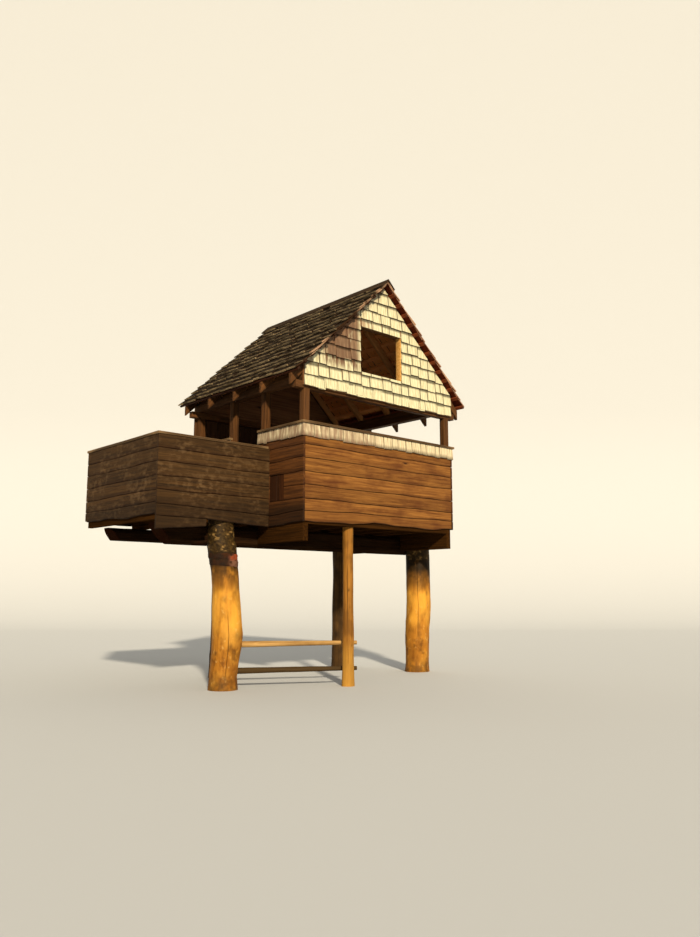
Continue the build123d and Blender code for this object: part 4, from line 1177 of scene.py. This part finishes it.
# Roof shakes: dark joints at the sides and painted highlights on the butts.
roof_units = shingle_units("roof_shake_unit", shake_front, shake_back, 2.2, 250, shake_wood, -1.0, 0.6)
roof_kit = (roof_units, shake_wood, dict(Width=0.150, Scatter=0.050, Joint=0.005, Stagger=0.022, Lift=0.022,
                                         Thinning=0.36, Wander=0.04))
shake_pitch, batten_top, first_reach = 147 * MM, 25 * MM, 110 * MM
roof_low, roof_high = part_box("left_roof_shakes")
eaves_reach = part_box("right_roof_shakes")[1].x - house_x
slope_reach = (eaves_reach - (batten_top + shake_thick * MM) * math.sin(pitch)) / math.cos(pitch)
course_count = math.floor((slope_reach - first_reach) / shake_pitch)
depth = roof_high.y - roof_low.y


def roof_side(name, node, side, seed):
    """The shakes of one slope: side is -1 on the left and 1 on the right."""
    draw = np.random.default_rng(seed)
    runs = []
    for row in range(course_count + 1):
        front, rear = draw.uniform(0, 28 * MM, 2)
        near, far = (depth - front, rear) if side < 0 else (front, depth - rear)
        runs.append((min(near, far), max(near, far), row * shake_pitch))
    shape = laid_courses(name, runs, seed, *roof_kit)
    down = Vector((side * math.cos(pitch), 0, -math.sin(pitch)))
    outward = Vector((side * math.sin(pitch), 0, math.cos(pitch)))
    top = Vector((house_x, roof_high.y if side < 0 else roof_low.y, peak))
    origin = top + slope_reach * down + batten_top * outward
    stood_up(shape, origin, (0, side, 0), -down)
    trimmed(shape, (house_x, 0, 0), (-side, 0, 0))
    settle(mesh_from(shape, name, shake_wood), "roof_shake", node)


roof_side("left_shakes", "left_roof_shakes", -1, 12)
roof_side("right_shakes", "right_roof_shakes", 1, 17)
dressed("ridge_boards", ["ridge_cap"], ridge_wood, "roof_shake")
for holder in (wall_units, band_units, roof_units):
    for unit in list(holder.objects):
        bpy.data.objects.remove(unit)
    bpy.data.collections.remove(holder)

# Floor, light and camera: a plain pale studio floor that curves up behind, a warm sun low on the
# left with a faint soft fill and warm air. The camera stands where the photograph was taken.
scene = bpy.context.scene
scene.view_settings.view_transform = "Standard"
near_edge, bend_start, back_height, half_width = -40.0, 14.0, 90.0, 60.0
bend, bend_steps = 9.0, 12
profile = [(near_edge, 0.0), (bend_start, 0.0)]
for step in range(1, bend_steps + 1):
    angle = math.pi / 2 * step / bend_steps
    profile.append((bend_start + bend * math.sin(angle), bend * (1 - math.cos(angle))))
profile.append((bend_start + bend, back_height))
forward = Vector((-math.sin(view_turn), math.cos(view_turn), 0))
aside = Vector(sideways)
points = [forward * far + aside * side + Vector((0, 0, z)) for far, z in profile
          for side in (-half_width, half_width)]
strips = [(2 * i, 2 * i + 1, 2 * i + 3, 2 * i + 2) for i in range(len(profile) - 1)]
floor_mesh = bpy.data.meshes.new("studio_floor")
floor_mesh.from_pydata([tuple(p) for p in points], [], strips)
floor_mesh.polygons.foreach_set("use_smooth", [True] * len(strips))
paper = bpy.data.materials.new("pale_paper")
paper.use_nodes = True
paper_surface = paper.node_tree.nodes["Principled BSDF"]
paper_surface.inputs["Base Color"].default_value = linear("#B8BDC4")
paper_surface.inputs["Roughness"].default_value = 0.9
floor_mesh.materials.append(paper)
studio_floor = bpy.data.objects.new("studio_floor", floor_mesh)
scene.collection.objects.link(studio_floor)

# Suns: bearings in degrees left of the gable's front, climbs above the horizon, and softness.
for name, bearing, climb, strength, colour, softness in (("key", 30, 26, 5.4, "#FFEBC8", 3),
                                                         ("fill", -50, 50, 0.3, "#E8E6E0", 60)):
    lamp = bpy.data.lights.new(name, "SUN")
    lamp.energy, lamp.color, lamp.angle = strength, linear(colour)[:3], math.radians(softness)
    turn, rise = math.radians(bearing), math.radians(climb)
    towards = Vector((-math.sin(turn) * math.cos(rise), -math.cos(turn) * math.cos(rise), math.sin(rise)))
    holder = bpy.data.objects.new(name, lamp)
    holder.rotation_euler = towards.to_track_quat("Z", "Y").to_euler()
    scene.collection.objects.link(holder)
world = bpy.data.worlds.new("studio_air")
scene.world = world
world.use_nodes = True
world.node_tree.nodes["Background"].inputs["Color"].default_value = linear("#DAD4C8")
world.node_tree.nodes["Background"].inputs["Strength"].default_value = 0.42

view_climb = math.radians(8.83)
camera = bpy.data.cameras.new("photo_camera")
camera.lens, camera.sensor_width = 30.97, 36.0
viewer = bpy.data.objects.new("photo_camera", camera)
viewer.location = (-6.952, -8.898, 1.15)
viewer.rotation_euler = (math.pi / 2 + view_climb, 0, view_turn)
scene.collection.objects.link(viewer)
scene.camera = viewer
